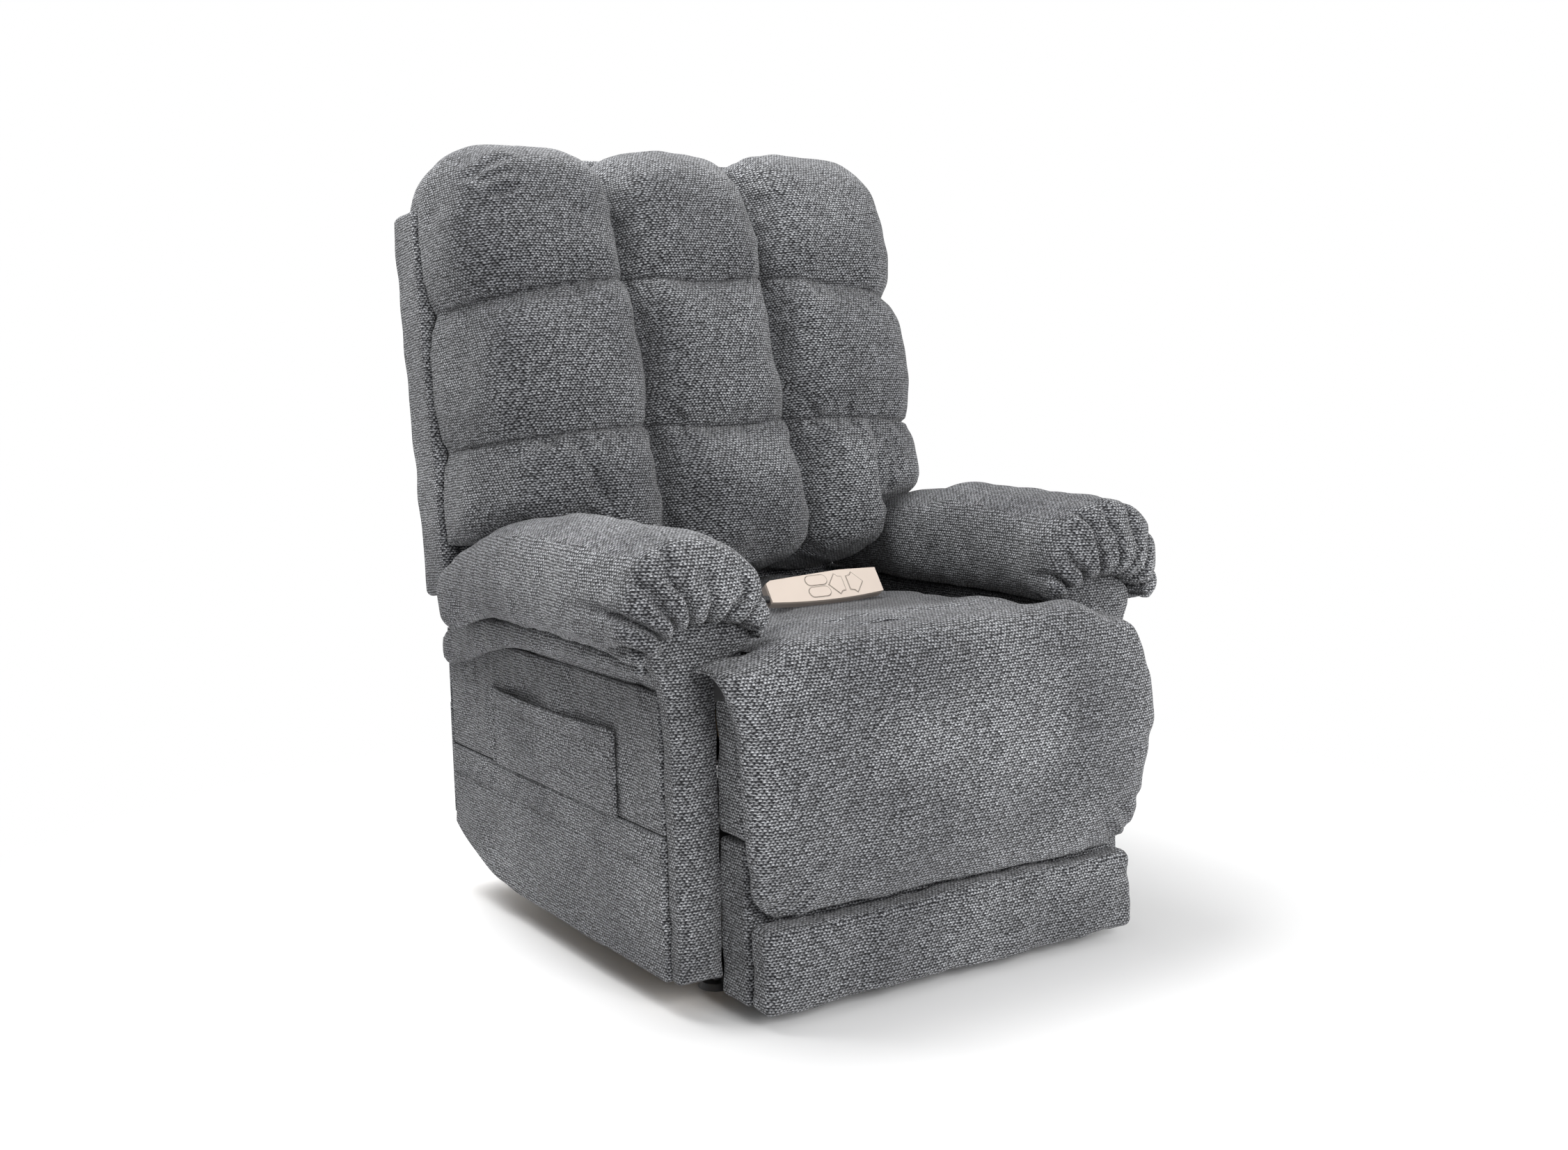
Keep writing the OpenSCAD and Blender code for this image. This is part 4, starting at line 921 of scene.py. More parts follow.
    def seams(self, points: Array, normals: Array) -> Array:
        """Height of the seams, the small pleats beside them, and slack in the cells."""
        p = self.lean.back(points)
        front = ease((-p[:, 1] - 0.02) / 0.03)
        column, row = self.column_line(p), self.row_line(p)
        height = -0.004 * groove(column, 0.005) - 0.0035 * groove(row, 0.004)
        pleat_c = ripple(p, 0.034, 11,
                         squeeze=(0.25, 0.25, 1.0)) * np.exp(-column / 0.026) * (1
                                 - groove(column, 0.006))
        pleat_r = ripple(p, 0.030, 12,
                         squeeze=(1.0, 0.25, 0.25)) * np.exp(-row / 0.026) * (1
                                 - groove(row, 0.006))
        height += 0.0016 * pleat_c + 0.0018 * pleat_r
        height += 0.0020 * ripple(p, 0.15, 13) + 0.0006 * ripple(p, 0.05, 14)
        for (x0, z0), (x1, z1), deep, wide in CREASES:
            run = np.array([x1 - x0, z1 - z0])
            t = ((p[:, 0] - x0) * run[0] + (p[:, 2] - z0) * run[1]) / (run @ run)
            off = np.hypot(p[:, 0] - x0 - np.clip(t, 0, 1) * run[0],
                           p[:, 2] - z0 - np.clip(t, 0, 1) * run[1])
            height += -deep * groove(off, wide) + 0.45 * deep * groove(off - 2.2 * wide,
                    1.3 * wide)
        return height * front

    def seam_shade(self, p: Array) -> Array:
        """Painted shade in the seam grooves, for the cloth's finish."""
        front = ease((-p[:, 1] - 0.02) / 0.03)
        return front * np.maximum(groove(self.column_line(p), 0.0032),
                                  groove(self.row_line(p), 0.003))

    def wing(self, side: Side) -> bpy.types.Object:
        """One wing: a narrow padded board."""
        low, high = (0.3660, 0.0, 0.0), (0.3905, 0.088, 0.565)

        def shape(p: Array) -> Array:
            """Rounds the top corners, tucks the foot in and fills out the outer face."""
            q = p.copy()
            t = q[:, 2] / 0.565
            top = np.clip((q[:, 2] - 0.540) / 0.025, 0, 1)
            q[:, 1] = 0.044 + (q[:, 1] - 0.044) * (1 - 0.16 * top ** 2)
            u = (q[:, 0] - 0.3660) / 0.0245
            q[:, 0] += 0.003 * u * np.sin(np.pi * np.clip(t, 0, 1)) ** 0.5 * (1
                    - ((q[:, 1] - 0.044) / 0.044) ** 4)
            q[:, 0] *= side.value
            return self.lean.out(q)

        surface = Surface.block(low, high, 0.009, 0.008).warped(shape)
        piece = (surface if side is Side.LEFT
                 else surface.turned_over()).mesh(f"wing_{side.name.lower()}")
        sculpt(piece, lambda p, n: 0.0008 * ripple(p, 0.07, 21))
        return self.bench.dress(piece, "back", [f"back_wing_{side.name.lower()}"], 0.5,
                                self.lean.axes())

    def shell(self) -> bpy.types.Object:
        """The upholstered frame and rear panel, with a sewn border inside its edge."""
        wide, top, corner, tail, tail_half = 0.3656, 0.662, 0.100, -0.108, 0.264

        def edge(z: Array) -> Array:
            """Half width by height: a narrow tail, the full back, and round top corners."""
            arc = np.clip(z - (top - corner), 0, corner)
            round_off = corner - np.sqrt(np.maximum(corner ** 2 - arc ** 2, 0))
            return np.where(z < 0.0, tail_half + (wide - tail_half) * ease((z + 0.012) / 0.012),
                            wide - round_off)

        def shape(p: Array) -> Array:
            """Fits the block's sides to the outline."""
            q = p.copy()
            q[:, 0] *= edge(np.clip(q[:, 2], tail, top - 0.0015)) / wide
            q[:, 2] -= 0.016 * ease((q[:, 2] - 0.50) / 0.15) * (1
                    - ease((np.abs(q[:, 0]) - 0.16) / 0.14))
            return q

        surface = Surface.block((-wide, 0.0, tail), (wide, 0.088, top), 0.012, 0.008)
        piece = surface.warped(shape).warped(self.lean.out).mesh("back_shell")

        def relief(points: Array, normals: Array) -> Array:
            """Border seam 40 mm inside the edge of the rear face, and slack cloth."""
            p = self.lean.back(points)
            inside = np.minimum(edge(np.clip(p[:, 2], tail, top)) - np.abs(p[:, 0]), top - p[:, 2])
            rear = ease((p[:, 1] - 0.06) / 0.02)
            dome = 0.004 * ease(inside / 0.15) * (p[:, 2] > 0)
            return rear * (dome - 0.003 * groove(inside - 0.042, 0.006)
                           + 0.0012 * ripple(p, 0.14, 23)) \
                + 0.0004 * ripple(p, 0.05, 24)

        sculpt(piece, relief)
        p = self.lean.back(read_points(piece))
        inside = np.minimum(edge(np.clip(p[:, 2], tail, top)) - np.abs(p[:, 0]), top - p[:, 2])
        # Painted shade in the border seam's groove on the rear face.
        mark(piece, "seam", groove(inside - 0.042, 0.003) * (p[:, 1] > 0.08))
        return self.bench.dress(piece, "back", ["back_cover", "back_frame"], 0.4, self.lean.axes())

    def build(self) -> None:
        """Builds the whole back."""
        self.cushion()
        self.wing(Side.LEFT)
        self.wing(Side.RIGHT)
        self.shell()


CREASES = (
    ((-0.345, 0.585), (-0.292, 0.612), 0.0040, 0.006),
    ((-0.322, 0.556), (-0.288, 0.566), 0.0040, 0.005),
    ((-0.335, 0.575), (-0.300, 0.588), 0.0022, 0.005),
    ((0.236, 0.085), (0.247, 0.205), 0.0055, 0.008),
    ((0.258, 0.110), (0.262, 0.200), 0.0050, 0.006),
    ((0.276, 0.130), (0.274, 0.198), 0.0030, 0.006),
    ((-0.240, 0.120), (-0.262, 0.195), 0.0050, 0.008),
    ((-0.30, 0.205), (-0.345, 0.186), 0.0030, 0.007),
)

# The arm's timber frame: its inner face, its thin side, its rear end, foot, top and rear post.
FRAME_INNER = 0.2984
FRAME_SIDE = 0.3424
FRAME_END = 0.3592
FRAME_FOOT = 0.1180
FRAME_TOP = 0.4020
POST_FRONT = 0.3150
# Top edge of the panel that closes the chair's rear.
REAR_PANEL_TOP = 0.2884
# The cloth on the arm's outer side: inner face, front edge (ahead of the middle) and rear edge.
PANEL_INNER = 0.3422
PANEL_FRONT = 0.3118
PANEL_REAR = 0.3528
# The pillow's outer and inner edge and its crown: (place along the arm, size) from the front.
PILLOW_OUTER = ((-0.374, 0.392), (-0.352, 0.415), (-0.30, 0.422), (-0.10, 0.420), (0.15, 0.421),
                (0.24, 0.421), (0.266, 0.417))
PILLOW_INNER = ((-0.374, 0.262), (-0.355, 0.239), (-0.325, 0.233), (-0.27, 0.239), (-0.20, 0.245),
                (0.10, 0.247), (0.266, 0.250))
PILLOW_CROWN = ((-0.374, 0.548), (-0.352, 0.578), (-0.31, 0.590), (-0.20, 0.596), (0.00, 0.592),
                (0.08, 0.582), (0.15, 0.563),
                (0.21, 0.535), (0.25, 0.506), (0.266, 0.490))


def pillow_top(x: Array, y: Array) -> Array:
    """Height of an arm pillow's upper skin at a distance x from the chair's middle.

    The section's upper half is z = m + (top − m)(1 − |u|^2.4)^(1/2.4), with u across the
    pillow from −1 to 1.
    """
    outer, inner = table(PILLOW_OUTER, y), table(PILLOW_INNER, y)
    u = np.clip(np.abs((x - (outer + inner) / 2) / ((outer - inner) / 2)), 0, 1)
    middle = 0.492
    top = middle + (table(PILLOW_CROWN, y) - middle) * (1 - u ** 2.4) ** (1 / 2.4)
    return np.where((y > 0.27) | (u >= 1), 0.40, top)


# ------------------------------------------------------------------ arms


FACING = np.array([
    (0.2950, 0.045), (0.3555, 0.045), (0.3562, 0.230), (0.3580, 0.350), (0.3620, 0.395),
    (0.3700, 0.425), (0.3790, 0.443),
    (0.3815, 0.458), (0.3760, 0.469), (0.3620, 0.4785), (0.3400, 0.4855), (0.3160, 0.4885),
    (0.2920, 0.4865),
    (0.2660, 0.4810), (0.2470, 0.4720), (0.2410, 0.4600), (0.2500, 0.4500), (0.2740, 0.4430),
    (0.2870, 0.4310), (0.2945, 0.4080),
])


@dataclass
class Arm:
    """One arm: a pillow with a ruched front, a bowed band, a facing, a side panel and a skirt.

    Attributes:
        side: Which arm it is.
        bench: Dresses the pieces.
    """

    side: Side
    bench: Upholsterer

    def hand(self, p: Array) -> Array:
        """Mirrors points of the left arm to this arm."""
        return p * np.array([self.side.value, 1.0, 1.0])

    def closed(self, surface: Surface, name: str) -> bpy.types.Object:
        """The piece of a left arm's surface on this arm, with its faces still outwards."""
        surface = surface.warped(self.hand)
        return (surface if self.side is Side.LEFT else surface.turned_over()).mesh(name)

    def name(self, part: str) -> str:
        """A part's name with its side."""
        return f"{part}_{self.side.name.lower()}"

    def seed(self, number: int) -> int:
        """A noise seed that differs between the two arms."""
        return number + (0 if self.side is Side.LEFT else 500)

    def pillow(self) -> bpy.types.Object:
        """The arm pillow: a long roll, flat below, swelled, then gathered round the facing."""
        low, high = -0.376, 0.267
        y = (low + high) / 2 + (high - low) / 2 * np.sin(np.linspace(-1, 1, 121) * np.pi / 2)
        a = np.linspace(0, 2 * np.pi, 97)
        y, a = np.meshgrid(y, a, indexing="ij")
        outer, inner, top = table(PILLOW_OUTER, y), table(PILLOW_INNER, y), table(PILLOW_CROWN, y)
        end = np.maximum(np.clip((y - 0.222) / (high - 0.222), 0, 1) ** 3.2,
                         np.clip((-0.338 - y) / (-0.338 - low), 0, 1) ** 2.8)
        end = np.sqrt(np.maximum(1 - end, 0.0004))
        c, s = np.cos(a), np.sin(a)
        up, down = 2 / 2.4, 2 / 3.4
        power = np.where(s > 0, up, down)
        u = np.sign(c) * np.abs(c) ** power
        v = np.sign(s) * np.abs(s) ** power
        middle, under = 0.492, 0.4470
        x = (outer + inner) / 2 + u * (outer - inner) / 2 * end
        z = np.where(v > 0, middle + v * (top - middle) * end,
                     middle + v * (middle - under) * end ** 0.7)
        rings = np.stack([x, y, z], -1)
        centre = rings.mean(1, keepdims=True)
        piece = self.closed(Surface.between(rings[:, ::-1],
                                            centre + (rings[:, ::-1] - centre) * 0.02),
                                            self.name("pillow_cover"))
        stuff = Stuffing(voxel=0.0062, cap=0.007)
        stuff.remesh(piece)
        stuff.swell(piece, lambda p: (p[:, 2] < under + 0.004).astype(float))
        subdivide(piece)
        write_points(piece, self.hand(self.seated(self.hand(read_points(piece)))))
        sculpt(piece, lambda p, n: self.gathers(self.hand(p)))
        placed = self.clear(self.hand(read_points(piece)))
        write_points(piece, self.hand(placed))
        strength, bottom, _, away = self.folds(placed)
        # Painted shade in the bottoms of the gathers and in the seam against the facing.
        mark(piece, "seam", np.maximum(0.55 * strength * bottom,
                                       0.8 * groove(away, 0.003) * (placed[:, 1] < -0.30)))
        return self.bench.dress(piece, "chair", [self.name("arm_pillow")], 0.8)

    def seated(self, p: Array) -> Array:
        """Hangs the outer underside over the band, and wraps the front round the facing."""
        q = p.copy()
        over = ease((q[:, 0] - 0.383) / 0.016)
        low = ease((0.52 - q[:, 2]) / 0.07)
        drop = 0.002 + 0.032 * ease((q[:, 1] - 0.08) / 0.17)
        q[:, 2] -= drop * over * low
        away = outline_distance(q[:, [0, 2]], FACING)
        reach = -0.322 - 0.058 * (1 - np.exp(-np.maximum(away, 0) / 0.012))
        q[:, 1] = np.maximum(q[:, 1], reach)
        return q

    def clear(self, p: Array) -> Array:
        """Keeps the pillow above the band and the seat, and behind the facing."""
        q = p.copy()
        on_band = (q[:, 0] > 0.296) & (q[:, 0] < 0.3845)
        q[:, 2] = np.where(on_band, np.maximum(q[:, 2], 0.4456), q[:, 2])
        inner = q[:, 0] <= 0.2985
        q[:, 2] = np.where(inner, np.maximum(q[:, 2], 0.4530), q[:, 2])
        away = outline_distance(q[:, [0, 2]], FACING)
        q[:, 1] = np.where(away < 0.001, np.maximum(q[:, 1], -0.3235), q[:, 1])
        return q

    def folds(self, p: Array) -> tuple[Array, Array, Array, Array]:
        """The gathers round the facing's head: strength, place in fold, fine folds, distance."""
        dx, dz = p[:, 0] - 0.318, p[:, 2] - 0.425
        angle = np.arctan2(dz, dx)
        away = np.maximum(outline_distance(p[:, [0, 2]], FACING), 0)
        s = np.minimum(away, 0.080) + np.maximum(p[:, 1] + 0.350, 0)
        reach = 0.070 + 0.052 * ease((dx + 0.03) / 0.08)
        wander = 0.50 * ripple(p, 0.11, self.seed(31), squeeze=(1, 0.5, 1)) \
            + 0.30 * ripple(p, 0.045, self.seed(32), squeeze=(1, 0.25, 1))
        turn = 20.0 * angle + 1.3 * wander + 0.6 * self.side.value
        bottom = np.exp(-(np.sin(turn / 2) / 0.42) ** 2)
        uneven = 0.72 + 0.38 * np.sin(3.1 * angle + self.seed(3)) + 0.25 * np.sin(7.3 * angle
                + 2.0 * self.side.value)
        start = ease(s / 0.006)
        strength = start * np.exp(-(s / (reach * np.clip(uneven, 0.55, 1.2))) ** 1.8)
        fine = start * np.exp(-s / 0.030) * np.cos(39.0 * angle + 1.9 * wander)
        return strength, bottom, fine, away

    def gathers(self, p: Array) -> Array:
        """Height of the ruching: folds that fan from the facing's top and die away.

        A fold lies at one angle a round the facing's head, so the height is cos(n a + bend) times
        a strength that falls with the way s from the seam, and n slows where the folds run long.
        """
        strength, bottom, fine, away = self.folds(p)
        height = 0.0105 * strength * (1 - 2.1 * bottom) + 0.0022 * fine
        height += 0.0013 * ripple(p, 0.15, self.seed(33)) + 0.0006 * ripple(p, 0.05, self.seed(34))
        return height - 0.004 * groove(away, 0.004) * (p[:, 1] < -0.30)

    def facing(self) -> bpy.types.Object:
        """The facing: a slim upright that spreads into a flat round head before the pillow."""
        zs = FACING[:, 1]
        outer = FACING[1:12]
        inner = np.concatenate([FACING[:1], FACING[:10:-1]])
        top = 0.4880
        o = outer[np.argsort(outer[:, 1], kind="stable")]
        i = inner[np.argsort(inner[:, 1], kind="stable")]

        def shape(p: Array) -> Array:
            """x between the inner and the outer edge at that height; edges round off by 5 mm."""
            q = p.copy()
            z = np.clip(q[:, 2], zs.min(), top)
            u = (q[:, 0] - 0.25) / 0.13
            a, b = np.interp(z, i[:, 1], i[:, 0]), np.interp(z, o[:, 1], o[:, 0])
            q[:, 0] = a + u * (b - a)
            return q

        surface = Surface.block((0.25, -0.3365, 0.0440), (0.38, -0.3122, top), 0.006,
                                0.005).warped(shape)
        piece = self.closed(surface, self.name("facing"))

        def relief(points: Array, normals: Array) -> Array:
            """A soft crown on the front, and slack cloth."""
            p = self.hand(points)
            front = (normals[:, 1] < -0.5).astype(float)
            away = -outline_distance(p[:, [0, 2]], FACING)
            return front * 0.005 * ease(away / 0.02) + 0.0006 * ripple(p, 0.05, self.seed(41))

        sculpt(piece, relief)
        # Painted shade over the whole facing, which sits under the pillow.
        mark(piece, "seam", np.full(len(read_points(piece)), 0.34))
        return self.bench.dress(piece, "chair", [self.name("arm_facing")], 0.4)

    def band(self) -> bpy.types.Object:
        """The bowed band under the pillow: its lower edge falls towards the rear."""
        lower = ((-0.312, 0.4240), (-0.20, 0.4240), (-0.05, 0.4200), (0.07, 0.4110),
                 (0.17, 0.3930), (0.26, 0.3680), (0.353, 0.3480))
        upper = ((-0.312, 0.4445), (0.13, 0.4445), (0.20, 0.4380), (0.28, 0.4180), (0.353, 0.4000))

        def shape(p: Array) -> Array:
            """Carries the outer lip between its lower and upper edge along the arm."""
            q = p.copy()
            v = (q[:, 2] - 0.403) / 0.0415
            a, b = table(lower, q[:, 1]), table(upper, q[:, 1])
            out = ease((q[:, 0] - 0.358) / 0.006)
            z0 = 0.4032 * (1 - out) + a * out
            z1 = 0.4443 * (1 - out) + b * out
            q[:, 2] = z0 + v * (z1 - z0)
            q[:, 0] += out * (0.0035 * np.sin(np.pi * np.clip(v, 0, 1))
                              - 0.0165 * ease((q[:, 1] - 0.12) / 0.22))
            return q

        surface = Surface.block((0.2983, -0.3116, 0.403), (0.3845, PANEL_REAR, 0.4445), 0.009,
                                0.007).warped(shape)
        piece = self.closed(surface, self.name("band_cover"))
        sculpt(piece, lambda p,
               n: 0.0012 * ripple(p, 0.06, self.seed(43), squeeze=(1, 1, 0.3))
               * (np.abs(p[:, 0]) > 0.37))
        return self.bench.dress(piece, "chair", [self.name("arm_band")], 0.5)

    def panel(self) -> bpy.types.Object:
        """The side panel above the hem, slack between its edges."""
        surface = Surface.block((PANEL_INNER, -PANEL_FRONT, 0.2262), (0.3598, PANEL_REAR, 0.4025),
                                0.005, 0.008)
        piece = self.closed(surface, self.name("panel_cover"))

        def relief(points: Array, normals: Array) -> Array:
            """Slack of long waves on the outer face, 0 at the edges."""
            p = self.hand(points)
            inside = np.minimum.reduce([p[:, 1] + PANEL_FRONT, PANEL_REAR - p[:, 1],
                                        p[:, 2] - 0.2262])
            return (normals[:, 0] * self.side.value > 0.5) * ease(inside / 0.05) * (
                0.0016 * ripple(p, 0.13, self.seed(45))
                + 0.001 * ripple(p, 0.05, self.seed(46), squeeze=(1, 1, 0.5)))

        sculpt(piece, relief)
        p = self.hand(read_points(piece))
        # Painted shade over the whole panel, deeper towards its top under the band's overhanging
        # edge.
        mark(piece, "seam", 0.12 + 0.22 * groove(p[:, 2] - 0.400, 0.045))
        return self.bench.dress(piece, "chair", [self.name("side_panel")])

    def skirt(self) -> bpy.types.Object:
        """The skirt: a double-stitched hem above, and a lower edge that rises round the heel."""
        centre, radius, clear = 0.1068, 0.520, 0.0432

        def foot(y: Array) -> Array:
            """Height of the lower edge: level, then the heel's arc."""
            run = np.maximum(y - centre, 0)
            return clear + radius - np.sqrt(radius ** 2 - run ** 2)

        def shape(p: Array) -> Array:
            """Spreads the block between the lower edge and the hem."""
            q = p.copy()
            v = (q[:, 2] - clear) / (0.2257 - clear)
            z0 = foot(q[:, 1])
            q[:, 2] = z0 + v * (0.2257 - z0)
            return q

        surface = Surface.block((PANEL_INNER, -PANEL_FRONT, clear), (0.3630, PANEL_REAR, 0.2257),
                                0.005,
                                0.0065).warped(shape)
        piece = self.closed(surface, self.name("skirt"))

        def relief(points: Array, normals: Array) -> Array:
            """Two sewn lines of the hem, drag lines slanting between them, and slack below."""
            p = self.hand(points)
            outer = (normals[:, 0] * self.side.value > 0.5).astype(float)
            line = groove(p[:, 2] - 0.183, 0.0045)
            between = ease((0.226 - p[:, 2]) / 0.008) * ease((p[:, 2] - 0.180) / 0.01)
            slant = p.copy()
            slant[:, 1] += 1.2 * p[:, 2]
            drag = ripple(slant, 0.028, self.seed(47), squeeze=(0.2, 1, 0.1))
            slack = ripple(p, 0.12, self.seed(48)) * ease((0.18 - p[:, 2]) / 0.04)
            return outer * (-0.0032 * line + 0.0013 * between * drag + 0.0012 * slack)

        sculpt(piece, relief)
        p = self.hand(read_points(piece))
        # Painted shade in the hem's lower sewn groove.
        mark(piece, "seam", 0.7 * groove(p[:, 2] - 0.183, 0.0026) * (p[:, 0] > 0.36))
        return self.bench.dress(piece, "chair", [self.name("side_skirt")])

    def rear_strip(self) -> bpy.types.Object:
        """The cloth that closes the arm frame's rear end, above and beside the rear panel."""
        upper = Surface.block((FRAME_INNER, 0.3563, REAR_PANEL_TOP),
                              (FRAME_END, FRAME_END, FRAME_TOP), 0.0012, 0.008)
        edge = Surface.block((FRAME_SIDE, 0.3531, FRAME_FOOT), (FRAME_END, 0.3558, FRAME_TOP),
                             0.0012, 0.008)
        side = Surface.block((FRAME_SIDE, 0.3563, FRAME_FOOT), (FRAME_END, 0.3618, REAR_PANEL_TOP),
                             0.0012, 0.008)
        inner = Surface.block((0.2972, POST_FRONT, REAR_PANEL_TOP),
                              (FRAME_INNER, FRAME_END, 0.4032), 0.0005, 0.008)
        cap = Surface.block((FRAME_INNER, POST_FRONT, 0.4021), (FRAME_END, FRAME_END, 0.4033),
                            0.0005, 0.008)
        piece = self.closed(Surface.joined([upper, edge, side, inner, cap]),
                            self.name("rear_strip"))
        return self.bench.dress(piece, "chair")

    def build(self) -> None:
        """Builds the whole arm."""
        self.pillow()
        self.facing()
        self.band()
        self.panel()
        self.skirt()
        self.rear_strip()


@dataclass
class Pocket:
    """The magazine pocket on the sitter's right: a bag with a slack hemmed mouth.

    Attributes:
        bench: Dresses the piece.
        ends: Its front and rear edge along the arm.
        foot: Height of its bottom seam.
        mouth: Height of its mouth at the corners.
    """

    bench: Upholsterer
    ends: Row = (-0.1968, 0.1888)
    foot: float = 0.2266
    mouth: float = 0.3388

    def wall(self, y: Array, z: Array, away: float) -> Array:
        """Places of the bag's outer or inner skin: it stands off the panel most at its mouth."""
        s = (y - self.ends[0]) / (self.ends[1] - self.ends[0])
        v = (z - self.foot) / (self.mouth - self.foot)
        stand = 0.0022 + 0.0062 * np.sin(np.pi * np.clip(s, 0, 1)) ** 0.5 * np.clip(v, 0, 1) ** 0.8
        x = 0.3602 + stand + away
        sag = 0.003 * np.sin(np.pi * np.clip(s, 0, 1)) * np.clip(v, 0, 1) ** 2
        return np.stack([-x, y, z - sag], -1)

    def build(self) -> bpy.types.Object:
        """The bag: outer skin, rolled mouth and inner skin as one closed wall."""
        ny, nz = 90, 34
        y = np.linspace(*self.ends, ny)
        z = np.concatenate([[self.foot + 0.0001], np.linspace(self.foot + 0.002, self.mouth, nz)])
        yy, zz = np.meshgrid(y, z, indexing="ij")
        outer = self.wall(yy.ravel(), zz.ravel(), 0.0022).reshape(ny, nz + 1, 3)
        inner = self.wall(yy.ravel(), zz.ravel(), 0.0002).reshape(ny, nz + 1, 3)
        surface = Surface.between(outer.transpose(1, 0, 2), inner.transpose(1, 0, 2))
        piece = surface.mesh("storage_pocket_bag")

        def relief(points: Array, normals: Array) -> Array:
            """The hem's sewn line, side seams, and pleats that drag down from the mouth."""
            q = points
            s = (q[:, 1] - self.ends[0]) / (self.ends[1] - self.ends[0])
            v = (q[:, 2] - self.foot) / (self.mouth - self.foot)
            outer_face = (normals[:, 0] < -0.4).astype(float)
            slant = q.copy()
            slant[:, 2] += 0.25 * q[:, 1]
            drag = ripple(slant, 0.024, 61, squeeze=(0.2, 0.16, 1.0))
            edge = np.minimum(s, 1 - s) * 0.38
            return outer_face * (-0.0022
                                 * groove(q[:, 2] - 0.313
                                          + 0.003 * np.sin(np.pi * np.clip(s, 0, 1)), 0.003)
                                 + 0.0016 * drag * ease(v / 0.3) * ease(edge / 0.02)
                                 + 0.0012 * groove(edge - 0.004, 0.0035)
                                 - 0.0016 * groove(edge - 0.009, 0.002))

        sculpt(piece, relief)
        q = read_points(piece)
        edge = np.minimum(q[:, 1] - self.ends[0], self.ends[1] - q[:, 1])
        sag = 0.003 * np.sin(np.pi * np.clip((q[:, 1] - self.ends[0]) / 0.386, 0, 1))
        # Painted shade in the hem's sewn groove and along the side seams.
        mark(piece, "seam", 0.45 * np.maximum(groove(q[:, 2] - 0.313 + sag, 0.002),
                                              groove(edge - 0.009, 0.0018)))
        return self.bench.dress(piece, "chair", ["storage_pocket"], 0.2)


# ------------------------------------------------------------------ seat and leg rest


# The seat cushion: half its width, its underside and where its crown begins.
SEAT_HALF = 0.286
SEAT_FOOT = 0.3665
SEAT_SHOULDER = 0.445


